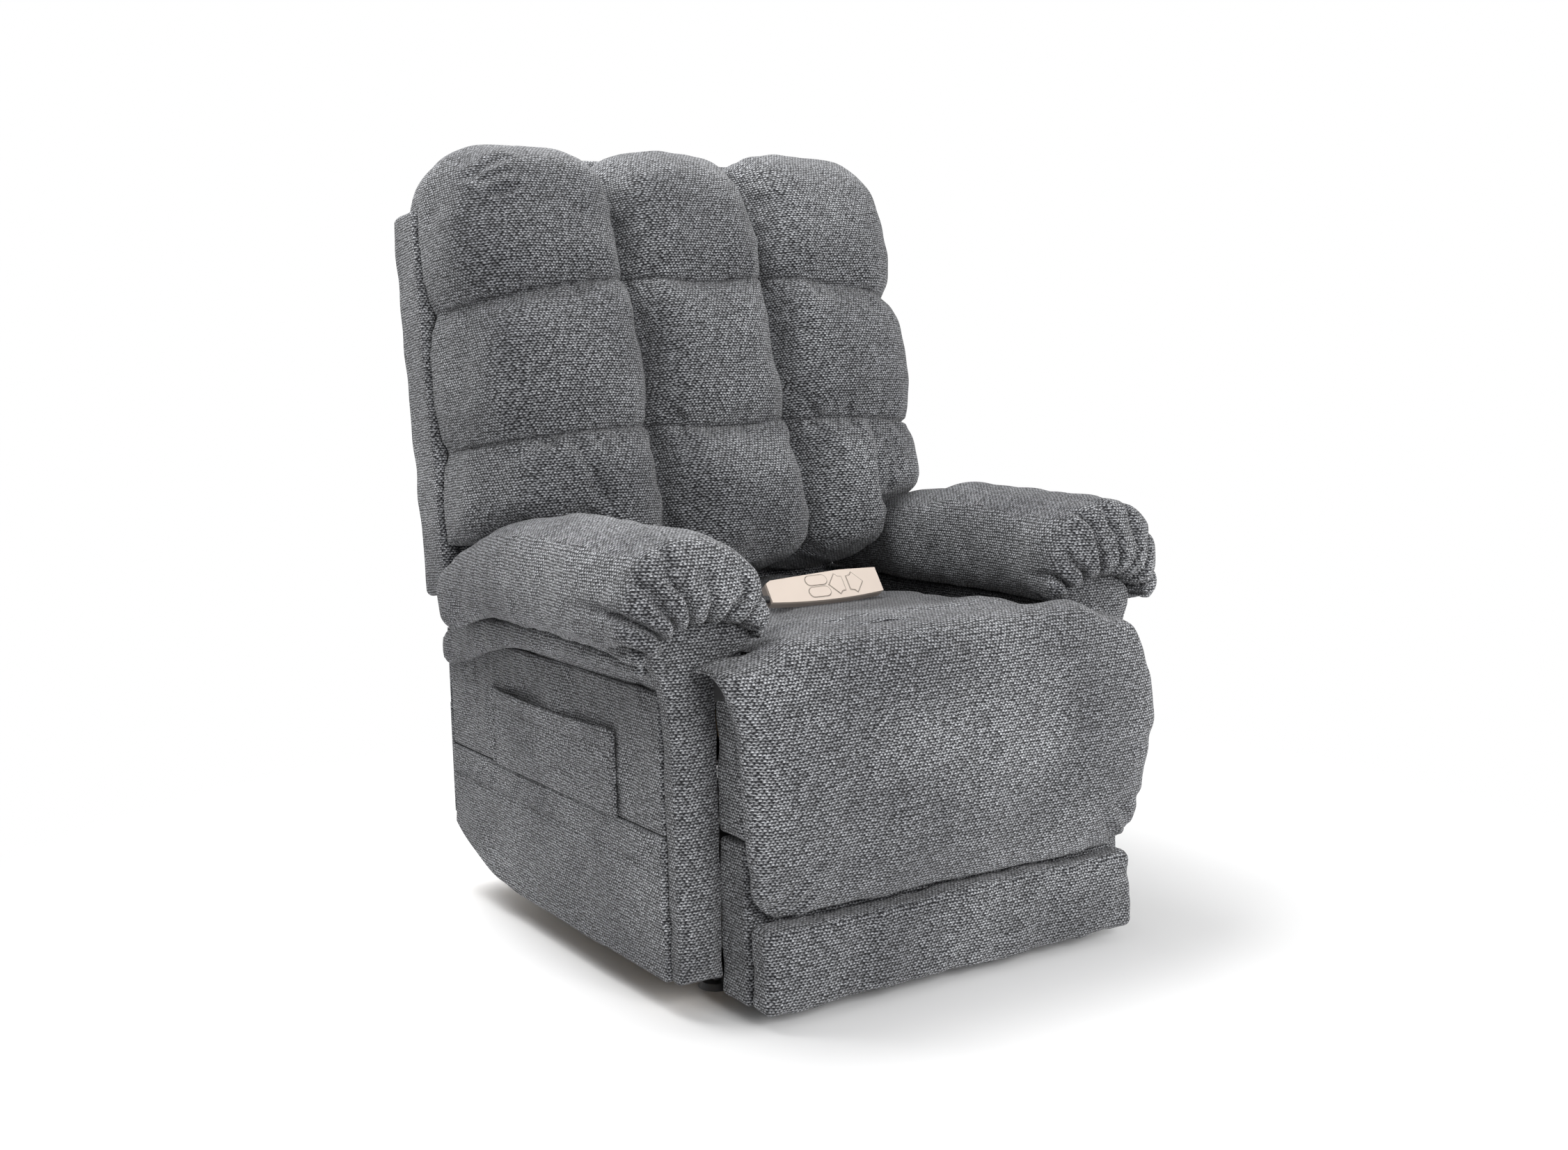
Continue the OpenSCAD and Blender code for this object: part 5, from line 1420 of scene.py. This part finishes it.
@dataclass
class Seat:
    """The seat cushion, the long pad over its nose and the leg rest, and the boxes behind it.

    Attributes:
        bench: Dresses the pieces.
    """

    bench: Upholsterer

    def cushion(self) -> bpy.types.Object:
        """The seat cushion: crowned across, with a lip over the rear of the chaise pad."""
        line = ((-0.363, 0.4690), (-0.326, 0.4680), (-0.235, 0.4610), (-0.15, 0.4560),
                (0.02, 0.4520), (0.257, 0.4520))

        def shape(p: Array) -> Array:
            """Bends the top to the seat line, crowned across and low along the arms."""
            q = p.copy()
            v = (q[:, 2] - SEAT_FOOT) / 0.0785
            u = np.clip(np.abs(q[:, 0]) / SEAT_HALF, 0, 1)
            top = table(line, q[:, 1]) - 0.004 - 0.045 * u ** 5
            q[:, 2] = SEAT_FOOT + v * (top - SEAT_FOOT)
            return q

        def lip_shape(p: Array) -> Array:
            """The lip: as crowned as the cushion, with its front edge turned down."""
            q = p.copy()
            u = np.clip(np.abs(q[:, 0]) / SEAT_HALF, 0, 1)
            v = (q[:, 2] - SEAT_SHOULDER) / 0.019
            top = table(line, q[:, 1]) - 0.002 - 0.045 * u ** 5
            q[:, 2] = np.minimum(0.4455, top - 0.010) + v * (top - np.minimum(0.4455, top - 0.010))
            return q

        main_block = Surface.block((-SEAT_HALF, -0.3235, SEAT_FOOT),
                                   (SEAT_HALF, 0.2545, SEAT_SHOULDER), 0.020,
                                   0.012).warped(shape)
        lip = Surface.block((-0.283, -0.3625, SEAT_SHOULDER), (0.283, -0.24, 0.464), 0.008,
                            0.008).warped(lip_shape)
        piece = Surface.joined([main_block, lip]).mesh("seat_cushion_top")
        stuff = Stuffing(voxel=0.0075, cap=0.006)
        stuff.remesh(piece)
        stuff.swell(piece, lambda p: ((p[:, 2] < 0.372) | (p[:, 1] < -0.32)).astype(float))
        subdivide(piece)
        sculpt(piece, lambda p, n: 0.0016 * ripple(p, 0.12, 71) + 0.0006 * ripple(p, 0.045, 72))
        q = read_points(piece)
        q[:, 0] = np.clip(q[:, 0], -0.2885, 0.2885)
        q[:, 1] = np.clip(q[:, 1], np.where(q[:, 2] < 0.4448, -0.3236, -0.3632), 0.2556)
        q[:, 2] = np.clip(q[:, 2], 0.3662, table(line, q[:, 1]) + 0.0025)
        beside = np.abs(q[:, 0]) > 0.228
        q[:, 2] = np.where(beside, np.minimum(q[:, 2], 0.4515), q[:, 2])
        write_points(piece, q)
        # Painted shade over the seat, fading out towards its front lip, for the shade that the
        # arms and back cast on it.
        mark(piece, "seam", 0.60 * ease((q[:, 1] + 0.335) / 0.12))
        return self.bench.dress(piece, "chair", ["seat_cushion"], 0.85)

    def chaise(self) -> bpy.types.Object:
        """The pad over the nose and down the leg rest, as one piece that curves down past the
        hinge.

        Its section is carried across the chair. Half its width by height gives it ears in front
        of the arms.
        """
        right = ((0.128, 0.266), (0.150, 0.294), (0.20, 0.306), (0.25, 0.311), (0.31, 0.312),
                 (0.37, 0.316), (0.404, 0.329), (0.43, 0.340), (0.475, 0.338))
        left = ((0.128, 0.266), (0.150, 0.296), (0.19, 0.315), (0.22, 0.323), (0.25, 0.330),
                (0.29, 0.337), (0.327, 0.339), (0.365, 0.337),
                (0.40, 0.330), (0.43, 0.319), (0.475, 0.298))

        outer = np.array([(-0.3255, 0.4432), (-0.3560, 0.4436), (-0.3640, 0.4600),
                          (-0.3720, 0.4688), (-0.3850, 0.4700), (-0.4000, 0.4672),
                          (-0.4140, 0.4590), (-0.4255, 0.4450), (-0.4335, 0.4240),
                          (-0.4390, 0.3950), (-0.4430, 0.3500), (-0.4445, 0.3000),
                          (-0.4435, 0.2400), (-0.4400, 0.1850), (-0.4340, 0.1500),
                          (-0.4240, 0.1320), (-0.4150, 0.1280)])
        inner = np.array([(-0.3255, 0.4275), (-0.3500, 0.4275), (-0.3600, 0.4275),
                          (-0.3680, 0.4275), (-0.3750, 0.4272), (-0.3810, 0.4268),
                          (-0.3870, 0.4262), (-0.3930, 0.4240), (-0.3930, 0.4100),
                          (-0.3930, 0.3880), (-0.3930, 0.3480), (-0.3930, 0.3000),
                          (-0.3930, 0.2400), (-0.3930, 0.1880), (-0.3930, 0.1600),
                          (-0.3930, 0.1400), (-0.3960, 0.1290)])
        at = np.linspace(0, len(outer) - 1, 4 * (len(outer) - 1) + 1)
        places = np.arange(len(outer))
        outer, inner = (np.stack([np.interp(at, places, v[:, k]) for k in (0, 1)], -1)
                        for v in (outer, inner))
        s = np.sin(np.linspace(-1, 1, 141) * np.pi / 2)

        def sheet(own: Array, other: Array) -> Array:
            """One skin: across the chair by s, drawn to the middle of the pad at its two sides."""
            keep = np.sqrt(np.maximum(1 - np.abs(s) ** 11, 0.0004))[:, None, None]
            yz = (own + other)[None] / 2 + keep * (own - other)[None] / 2
            z = yz[..., 1]
            half = np.where(s[:, None] < 0, table(right, z), table(left, z))
            x = s[:, None] * half
            outside = ease((np.abs(x) - 0.225) / 0.055)
            lowered = np.where(z > 0.4268, 0.4268 + (z - 0.4268) * (1 - 0.45 * outside), z)
            behind = ease((np.abs(x) - 0.280) / 0.012)
            y = np.where(yz[..., 0] > -0.3460, yz[..., 0] - behind * (yz[..., 0] + 0.3460),
                         yz[..., 0])
            return np.stack([x, y, lowered], -1)

        piece = Surface.between(sheet(inner, outer), sheet(outer, inner)).mesh("chaise_pad")
        stuff = Stuffing(voxel=0.0070, cap=0.003)
        stuff.remesh(piece)
        stuff.swell(piece, lambda p: ((p[:, 1] > -0.396) & (p[:, 2] < 0.42)
                                      | (p[:, 2] < 0.4285) & (p[:, 1] > -0.392)
                                      | (p[:, 1] > -0.372)).astype(float))
        subdivide(piece)
        write_points(piece, self.fitted(read_points(piece)))
        sculpt(piece, self.slack)
        write_points(piece, self.fitted(read_points(piece)))
        self.bench.dress(piece, None, ["chaise_nose", "leg_pad"], 0.7)
        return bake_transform(piece)

    def fitted(self, p: Array) -> Array:
        """Keeps the pad in front of the leg rest's boxes, above them and clear of the facings."""
        q = p.copy()
        below = q[:, 2] < 0.4256
        q[:, 1] = np.where(below, np.minimum(q[:, 1], -0.3925), q[:, 1])
        q[:, 1] = np.clip(q[:, 1], -0.4500, -0.3243)
        under = (q[:, 1] > -0.3640) & (np.abs(q[:, 0]) < 0.2905)
        q[:, 2] = np.where(under, np.minimum(q[:, 2], 0.4445), q[:, 2])
        beside = np.abs(q[:, 0]) > 0.2905
        q[:, 1] = np.where(beside, np.minimum(q[:, 1], -0.3450), q[:, 1])
        q[:, 2] = np.maximum(q[:, 2], 0.1275)
        return q

    def slack(self, p: Array, normals: Array) -> Array:
        """Height of the folds at the lower corners and along the sides, and slack on the front."""
        front = ease((-normals[:, 1] - 0.1) / 0.4)
        corner = ease((0.235 - p[:, 2]) / 0.07) * ease((np.abs(p[:, 0]) - 0.19) / 0.06)
        slant = p.copy()
        slant[:, 0] = p[:, 0] + np.sign(p[:, 0]) * 0.9 * p[:, 2]
        wrinkle = ripple(slant, 0.030, 81, squeeze=(1.0, 0.1, 0.15)) * corner
        edge = ease((np.abs(p[:, 0]) - 0.24) / 0.06)
        side = ripple(p, 0.035, 82, squeeze=(0.25, 0.3, 1.0)) * edge
        return front * (0.0030 * wrinkle + 0.0006 * side) + 0.0014 * ripple(p, 0.18,
                83) + 0.0004 * ripple(p, 0.05, 84)

    def leg_boxes(self) -> None:
        """The padded boxes behind the leg pad, and the kick pad below it."""
        bench = self.bench
        def waist(p: Array) -> Array:
            """Draws the sides in above the level where the hinge brackets are."""
            q = p.copy()
            q[:, 0] *= 1 - 0.0030 * ease((q[:, 2] - 0.305) / 0.02)
            return q

        upper = bench.board("leg_box_cover", (-0.2940, -0.3916, 0.2262), (0.2940, -0.3286, 0.3985),
                            0.008, 0.008, waist,
                            lambda p, n: 0.0008 * ripple(p, 0.06, 91))
        bench.dress(upper, "leg_rest", ["leg_box"], 0.4)
        lower = bench.board("extension_box_cover", (-0.2940, -0.3916, 0.0202),
                            (0.2940, -0.3282, 0.2222), 0.008, 0.008,
                            relief=lambda p, n: 0.0008 * ripple(p, 0.06, 92))
        bench.dress(lower, "extension", ["extension_box"], 0.4)

        def bow(p: Array) -> Array:
            """Fills out the kick pad's front, and waves its long edges a little."""
            q = p.copy()
            u, v = q[:, 0] / 0.292, (q[:, 2] - 0.0715) / 0.0535
            q[:, 1] -= 0.002 * (q[:, 1] < -0.41) * (1 - np.clip(np.abs(u), 0, 1) ** 4) * (1
                    - np.clip(np.abs(v), 0, 1) ** 2)
            q[:, 2] += 0.0016 * np.sin(q[:, 0] * 19 + 0.6) * v
            return q

        kick = bench.board("kick_pad_cover", (-0.2925, -0.4345, 0.0180), (0.2925, -0.3922, 0.1245),
                           0.013, 0.007, bow,
                           lambda p,
                           n: 0.0014 * ripple(p, 0.08, 93, squeeze=(1, 1, 0.6))
                           + 0.0006 * ripple(p, 0.03, 94))
        bench.dress(kick, "extension", ["kick_pad"], 0.6)

    def build(self) -> None:
        """Builds the seat and the leg rest."""
        self.cushion()
        self.chaise()
        self.leg_boxes()


@dataclass
class RearPanel:
    """The cloth panel that closes the body between the arms at the rear."""

    bench: Upholsterer

    def build(self) -> bpy.types.Object:
        """A thin board with a sewn border and slack cloth."""
        low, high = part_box("rear_panel")
        piece = self.bench.board("rear_cloth_panel", tuple(low), tuple(high), 0.0028, 0.009)

        def relief(p: Array, normals: Array) -> Array:
            """Border seam 18 mm inside the edge of the rear face."""
            inside = np.minimum.reduce([p[:, 0] - low[0], high[0] - p[:, 0], p[:, 2] - low[2],
                                        high[2] - p[:, 2]])
            return (normals[:, 1] > 0.5) * (0.0012 * ease(inside / 0.03) * ripple(p, 0.1, 95)
                                            - 0.001 * groove(inside - 0.02, 0.005))

        sculpt(piece, relief)
        return self.bench.dress(piece, "chair", ["rear_panel"])


# ------------------------------------------------------------------ handset and its cord


CORD_ROUTE = (
    (-112, -135, 472.5), (-124, -135, 471), (-140, -133, 464), (-160, -128, 459),
    (-185, -120, 457), (-210, -110, 455),
    (-235, -98, 451), (-252, -88, 446), (-262, -80, 442), (-272, -72, 438.5), (-283, -62, 432),
    (-291, -50, 423),
    (-293.5, -42, 410), (-293.5, -36, 394), (-293.5, -30, 376), (-293, -22, 358), (-291, -8, 342),
    (-290, 12, 335),
    (-290, 40, 334), (-290, 68, 334), (-286, 88, 335), (-272, 100, 336), (-256, 106, 332),
    (-245, 109, 320),
    (-241, 110, 305), (-240, 110, 292), (-240, 110, 285),
)


@dataclass
class Handset:
    """The handset's cord; its cover, buttons and shell stay as the frame has them."""

    bench: Upholsterer
    diameter: float = 0.006

    def route(self) -> Array:
        """The cord's middle line: Catmull–Rom through the route's points, eight steps a span."""
        p = np.array(CORD_ROUTE, float) / 1000
        p = np.concatenate([2 * p[:1] - p[1:2], p, 2 * p[-1:] - p[-2:-1]])
        t = np.linspace(0, 1, 8, endpoint=False)[None, :, None]
        a, b, c, d = (p[k: len(p) - 3 + k, None] for k in range(4))
        curve = 0.5 * (2 * b + (c - a) * t + (2 * a - 5 * b + 4 * c - d) * t ** 2
                       + (3 * b - a - 3 * c + d) * t ** 3)
        return np.concatenate([curve.reshape(-1, 3), p[-2:-1]])

    def build(self) -> bpy.types.Object:
        """Builds the cord as a round tube along its route."""
        path = self.route()
        piece = tube(path, self.diameter / 2, 14).mesh("handset_lead")
        self.bench.dress(piece, "chair", ["handset_cord"], None, slot="cord_rubber",
                         cloth=self.bench.palette.rubber)
        self.outlines()
        return piece

    def face(self, points: Array) -> Array:
        """From the handset's face, in millimetres, to the chair."""
        tilt = math.radians(55)
        p = points + np.array([112.0, -14.0, 8.0])
        y = p[:, 1] * math.cos(tilt) - p[:, 2] * math.sin(tilt)
        z = p[:, 1] * math.sin(tilt) + p[:, 2] * math.cos(tilt)
        return (np.stack([p[:, 0], y, z], -1) + np.array(CORD_ROUTE[0], float)) / 1000

    def outlines(self) -> bpy.types.Object:
        """Thin dark rims printed round the two oblong buttons and the two arrows."""
        off = 1.25
        t = np.linspace(0, np.pi, 15)
        end = np.stack([10 + (7 + off) * np.sin(t), (7 + off) * np.cos(t)], -1)
        oblong = np.concatenate([end, -end, end[:1]])
        arrow = np.array([(-13 - 1.4 * off, 0), (0, -15 - 1.4 * off), (4 + off, -11 - off),
                          (10 + off, -10 - off),
                          (10 + off, 10 + off), (4 + off, 11 + off), (0, 15 + 1.4 * off),
                          (-13 - 1.4 * off, 0)])
        steps = np.linspace(0, len(arrow) - 1, 12 * (len(arrow) - 1) + 1)
        arrow = np.stack([np.interp(steps, np.arange(len(arrow)), arrow[:, k]) for k in (0, 1)],
                         -1)
        parts = []
        for shape, (x, y), flip in ((oblong, (-12, 31), 1), (oblong, (-12, 13), 1),
                                    (arrow, (20, 22), 1), (arrow, (49, 22), -1)):
            line = np.stack([x + flip * shape[:, 0], y + shape[:, 1], np.full(len(shape), -0.28)],
                            -1)
            parts.append(tube(self.face(line), 0.00040, 8))
        piece = Surface.joined(parts).mesh("handset_button_rims")
        return self.bench.dress(piece, "chair", [], None, slot="handset_grey",
                                cloth=self.bench.palette.rim)


class Hardware:
    """Finishes on the frame's own nodes, which keep their shape."""

    def __init__(self, palette: Palette) -> None:
        """Sets out which nodes take which finish."""
        p = palette
        self.finishes = {
            p.base_paint: ["base_rail_left", "base_rail_right", "base_cross_tubes",
                           "pivot_brackets"],
            p.link_paint: ["lift_arm_left", "lift_arm_right", "lift_torque_tube", "control_links",
                           "mechanism_plate_left",
                           "mechanism_plate_right", "seat_cross_tube_front",
                           "seat_cross_tube_rear", "leg_hinge_brackets",
                           "back_straps", "extension_runners"],
            p.black_plastic: ["levelling_feet", "control_box", "cord_relief"],
            p.drive_case: ["lift_motor", "leg_motor", "back_motor"],
            p.plated_rod: ["lift_rod", "leg_rod", "back_rod"],
            p.timber: ["seat_rail_front", "seat_rail_rear", "arm_frame_left", "arm_frame_right",
                       "leg_board"],
            p.spring_wire: ["seat_springs"],
            p.cream: ["handset_cover", "rocker_upper", "rocker_lower", "arrow_left",
                      "arrow_right"],
            p.shell_grey: ["handset_shell"],
        }

    def dress(self) -> None:
        """Puts each finish on its nodes."""
        for finish, nodes in self.finishes.items():
            for node in nodes:
                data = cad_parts[node].data
                data.materials.clear()
                data.materials.append(finish)
        LOG.info("finished %d nodes of the frame", sum(len(v) for v in self.finishes.values()))


# ------------------------------------------------------------------ studio


@dataclass
class Studio:
    """A pale floor that fades to white, soft lamps and the camera.

    Attributes:
        eye: The camera's place.
        turn: Its turn from +Y towards +X, in degrees.
        pitch: How far it looks down, in degrees.
        roll: Its roll, in degrees.
        lens: Focal length for a 36 mm sensor.
    """

    eye: Row = (-1.334, -2.1335, 0.8025)
    turn: float = 32.4
    pitch: float = 7.2
    roll: float = -1.4
    lens: float = 40.22

    def camera(self) -> bpy.types.Object:
        """The camera, set by its sight lines: right, up and back."""
        a, p, r = (math.radians(v) for v in (self.turn, self.pitch, self.roll))
        ahead = np.array([math.sin(a), math.cos(a), 0.0])
        right = np.array([math.cos(a), -math.sin(a), 0.0])
        sight = math.cos(p) * ahead - math.sin(p) * np.array([0, 0, 1.0])
        up = math.sin(p) * ahead + math.cos(p) * np.array([0, 0, 1.0])
        right, up = math.cos(r) * right + math.sin(r) * up, -math.sin(r) * right + math.cos(r) * up
        data = bpy.data.cameras.new("view")
        data.sensor_width = 36.0
        data.lens = self.lens
        camera = bpy.data.objects.new("view", data)
        bpy.context.scene.collection.objects.link(camera)
        turn = np.eye(4)
        turn[:3, :3] = np.stack([right, up, -sight], -1)
        turn[:3, 3] = self.eye
        camera.matrix_world = Matrix(turn.tolist())
        bpy.context.scene.camera = camera
        return camera

    def lamp(self, name: str, place: Row, aim: Row, size: float, power: float) -> None:
        """A square soft lamp at a place, turned to an aim."""
        data = bpy.data.lights.new(name, "AREA")
        data.size = size
        data.energy = power
        lamp = bpy.data.objects.new(name, data)
        bpy.context.scene.collection.objects.link(lamp)
        back = np.array(place, float) - np.array(aim, float)
        back /= np.linalg.norm(back)
        side = np.cross([0.0, 0.0, 1.0], back)
        side /= np.linalg.norm(side)
        turn = np.eye(4)
        turn[:3, :3] = np.stack([side, np.cross(back, side), back], -1)
        turn[:3, 3] = place
        lamp.matrix_world = Matrix(turn.tolist())

    def seen(self, n: Nodes) -> bpy.types.NodeSocket:
        """1 for camera, glossy and transmission rays, else 0."""
        path = n.add("LightPath").outputs
        return n.math("MAXIMUM", path["Is Camera Ray"],
                      n.math("MAXIMUM", path["Is Glossy Ray"], path["Is Transmission Ray"]))

    def world(self, level: float = 0.36) -> None:
        """White where it is seen, and an even soft light elsewhere."""
        world = bpy.data.worlds.new("studio")
        world.use_nodes = True
        bpy.context.scene.world = world
        tree = world.node_tree
        tree.nodes.clear()
        path = tree.nodes.new("ShaderNodeLightPath")
        seen = tree.nodes.new("ShaderNodeMath")
        seen.operation = "MAXIMUM"
        more = tree.nodes.new("ShaderNodeMath")
        more.operation = "MAXIMUM"
        tree.links.new(path.outputs["Is Camera Ray"], seen.inputs[0])
        tree.links.new(path.outputs["Is Glossy Ray"], seen.inputs[1])
        tree.links.new(seen.outputs[0], more.inputs[0])
        tree.links.new(path.outputs["Is Transmission Ray"], more.inputs[1])
        soft = tree.nodes.new("ShaderNodeBackground")
        soft.inputs[0].default_value = (1, 1, 1, 1)
        soft.inputs[1].default_value = level
        white = tree.nodes.new("ShaderNodeBackground")
        white.inputs[0].default_value = (1, 1, 1, 1)
        white.inputs[1].default_value = 1.0
        mix = tree.nodes.new("ShaderNodeMixShader")
        out = tree.nodes.new("ShaderNodeOutputWorld")
        tree.links.new(more.outputs[0], mix.inputs[0])
        tree.links.new(soft.outputs[0], mix.inputs[1])
        tree.links.new(white.outputs[0], mix.inputs[2])
        tree.links.new(mix.outputs[0], out.inputs[0])

    def floor(self) -> bpy.types.Object:
        """A flat round floor: pale near the chair, where its shadow falls, and white beyond."""
        a = np.linspace(0, 2 * np.pi, 64, endpoint=False)
        radii = np.array([0.05, 1.0, 3.0, 12.0])
        ring = radii[:, None, None] * np.stack([np.cos(a), np.sin(a), np.zeros_like(a)], -1)[None]
        points = ring.reshape(-1, 3) - np.array([0, 0, 0.0002])
        i, j = np.meshgrid(np.arange(3), np.arange(64), indexing="ij")
        k = (j + 1) % 64
        quads = np.stack([i * 64 + j, (i + 1) * 64 + j, (i + 1) * 64 + k, i * 64 + k],
                         -1).reshape(-1, 4)
        s = np.arange(31)
        inner = np.stack([s, s + 1, 62 - s, 63 - s], -1)
        piece = Surface(points, np.concatenate([quads, inner])).mesh("floor")
        n = Nodes("studio_floor")
        place = n.add("TexCoord").outputs["Object"]
        out = n.add("VectorMath", operation="LENGTH", i0=place).outputs["Value"]
        fade = n.add("MapRange", interpolation_type="SMOOTHSTEP", Value=out, i1=0.55,
                     i2=1.35).outputs[0]
        matt = n.add("BsdfDiffuse", Color=(0.93, 0.93, 0.93, 1.0))
        white = n.add("Emission", Color=(1, 1, 1, 1), Strength=1.0)
        share = n.math("MULTIPLY", fade, self.seen(n))
        mix = n.add("MixShader", i0=share, i1=matt.outputs[0], i2=white.outputs[0])
        n.tree.links.new(mix.outputs[0], n.out.inputs["Surface"])
        piece.data.materials.append(n.material)
        return piece

    def build(self) -> None:
        """Sets up camera, floor, world and lamps."""
        self.camera()
        self.floor()
        self.world()
        self.lamp("key", (-0.2, -3.3, 1.6), (0, 0, 0.5), 1.4, 78.0)
        self.lamp("fill", (2.4, -1.8, 1.3), (0, 0, 0.5), 1.8, 26.0)
        self.lamp("top", (-0.6, 0.9, 2.7), (0, 0, 0.5), 2.0, 94.0)
        self.lamp("rear", (0.6, 2.8, 1.8), (0, 0, 0.5), 1.8, 16.0)
        bpy.context.scene.view_settings.view_transform = "Standard"


def main() -> None:
    """Builds the studio and the chair's looks in order."""
    logging.basicConfig(level=logging.INFO, format="%(name)s: %(message)s")
    Studio().build()
    palette = Palette()
    bench = Upholsterer(palette)
    Hardware(palette).dress()
    Handset(bench).build()
    Backrest(bench).build()
    for side in Side:
        Arm(side, bench).build()
    Pocket(bench).build()
    Seat(bench).build()
    RearPanel(bench).build()


if __name__ == "__main__":
    main()
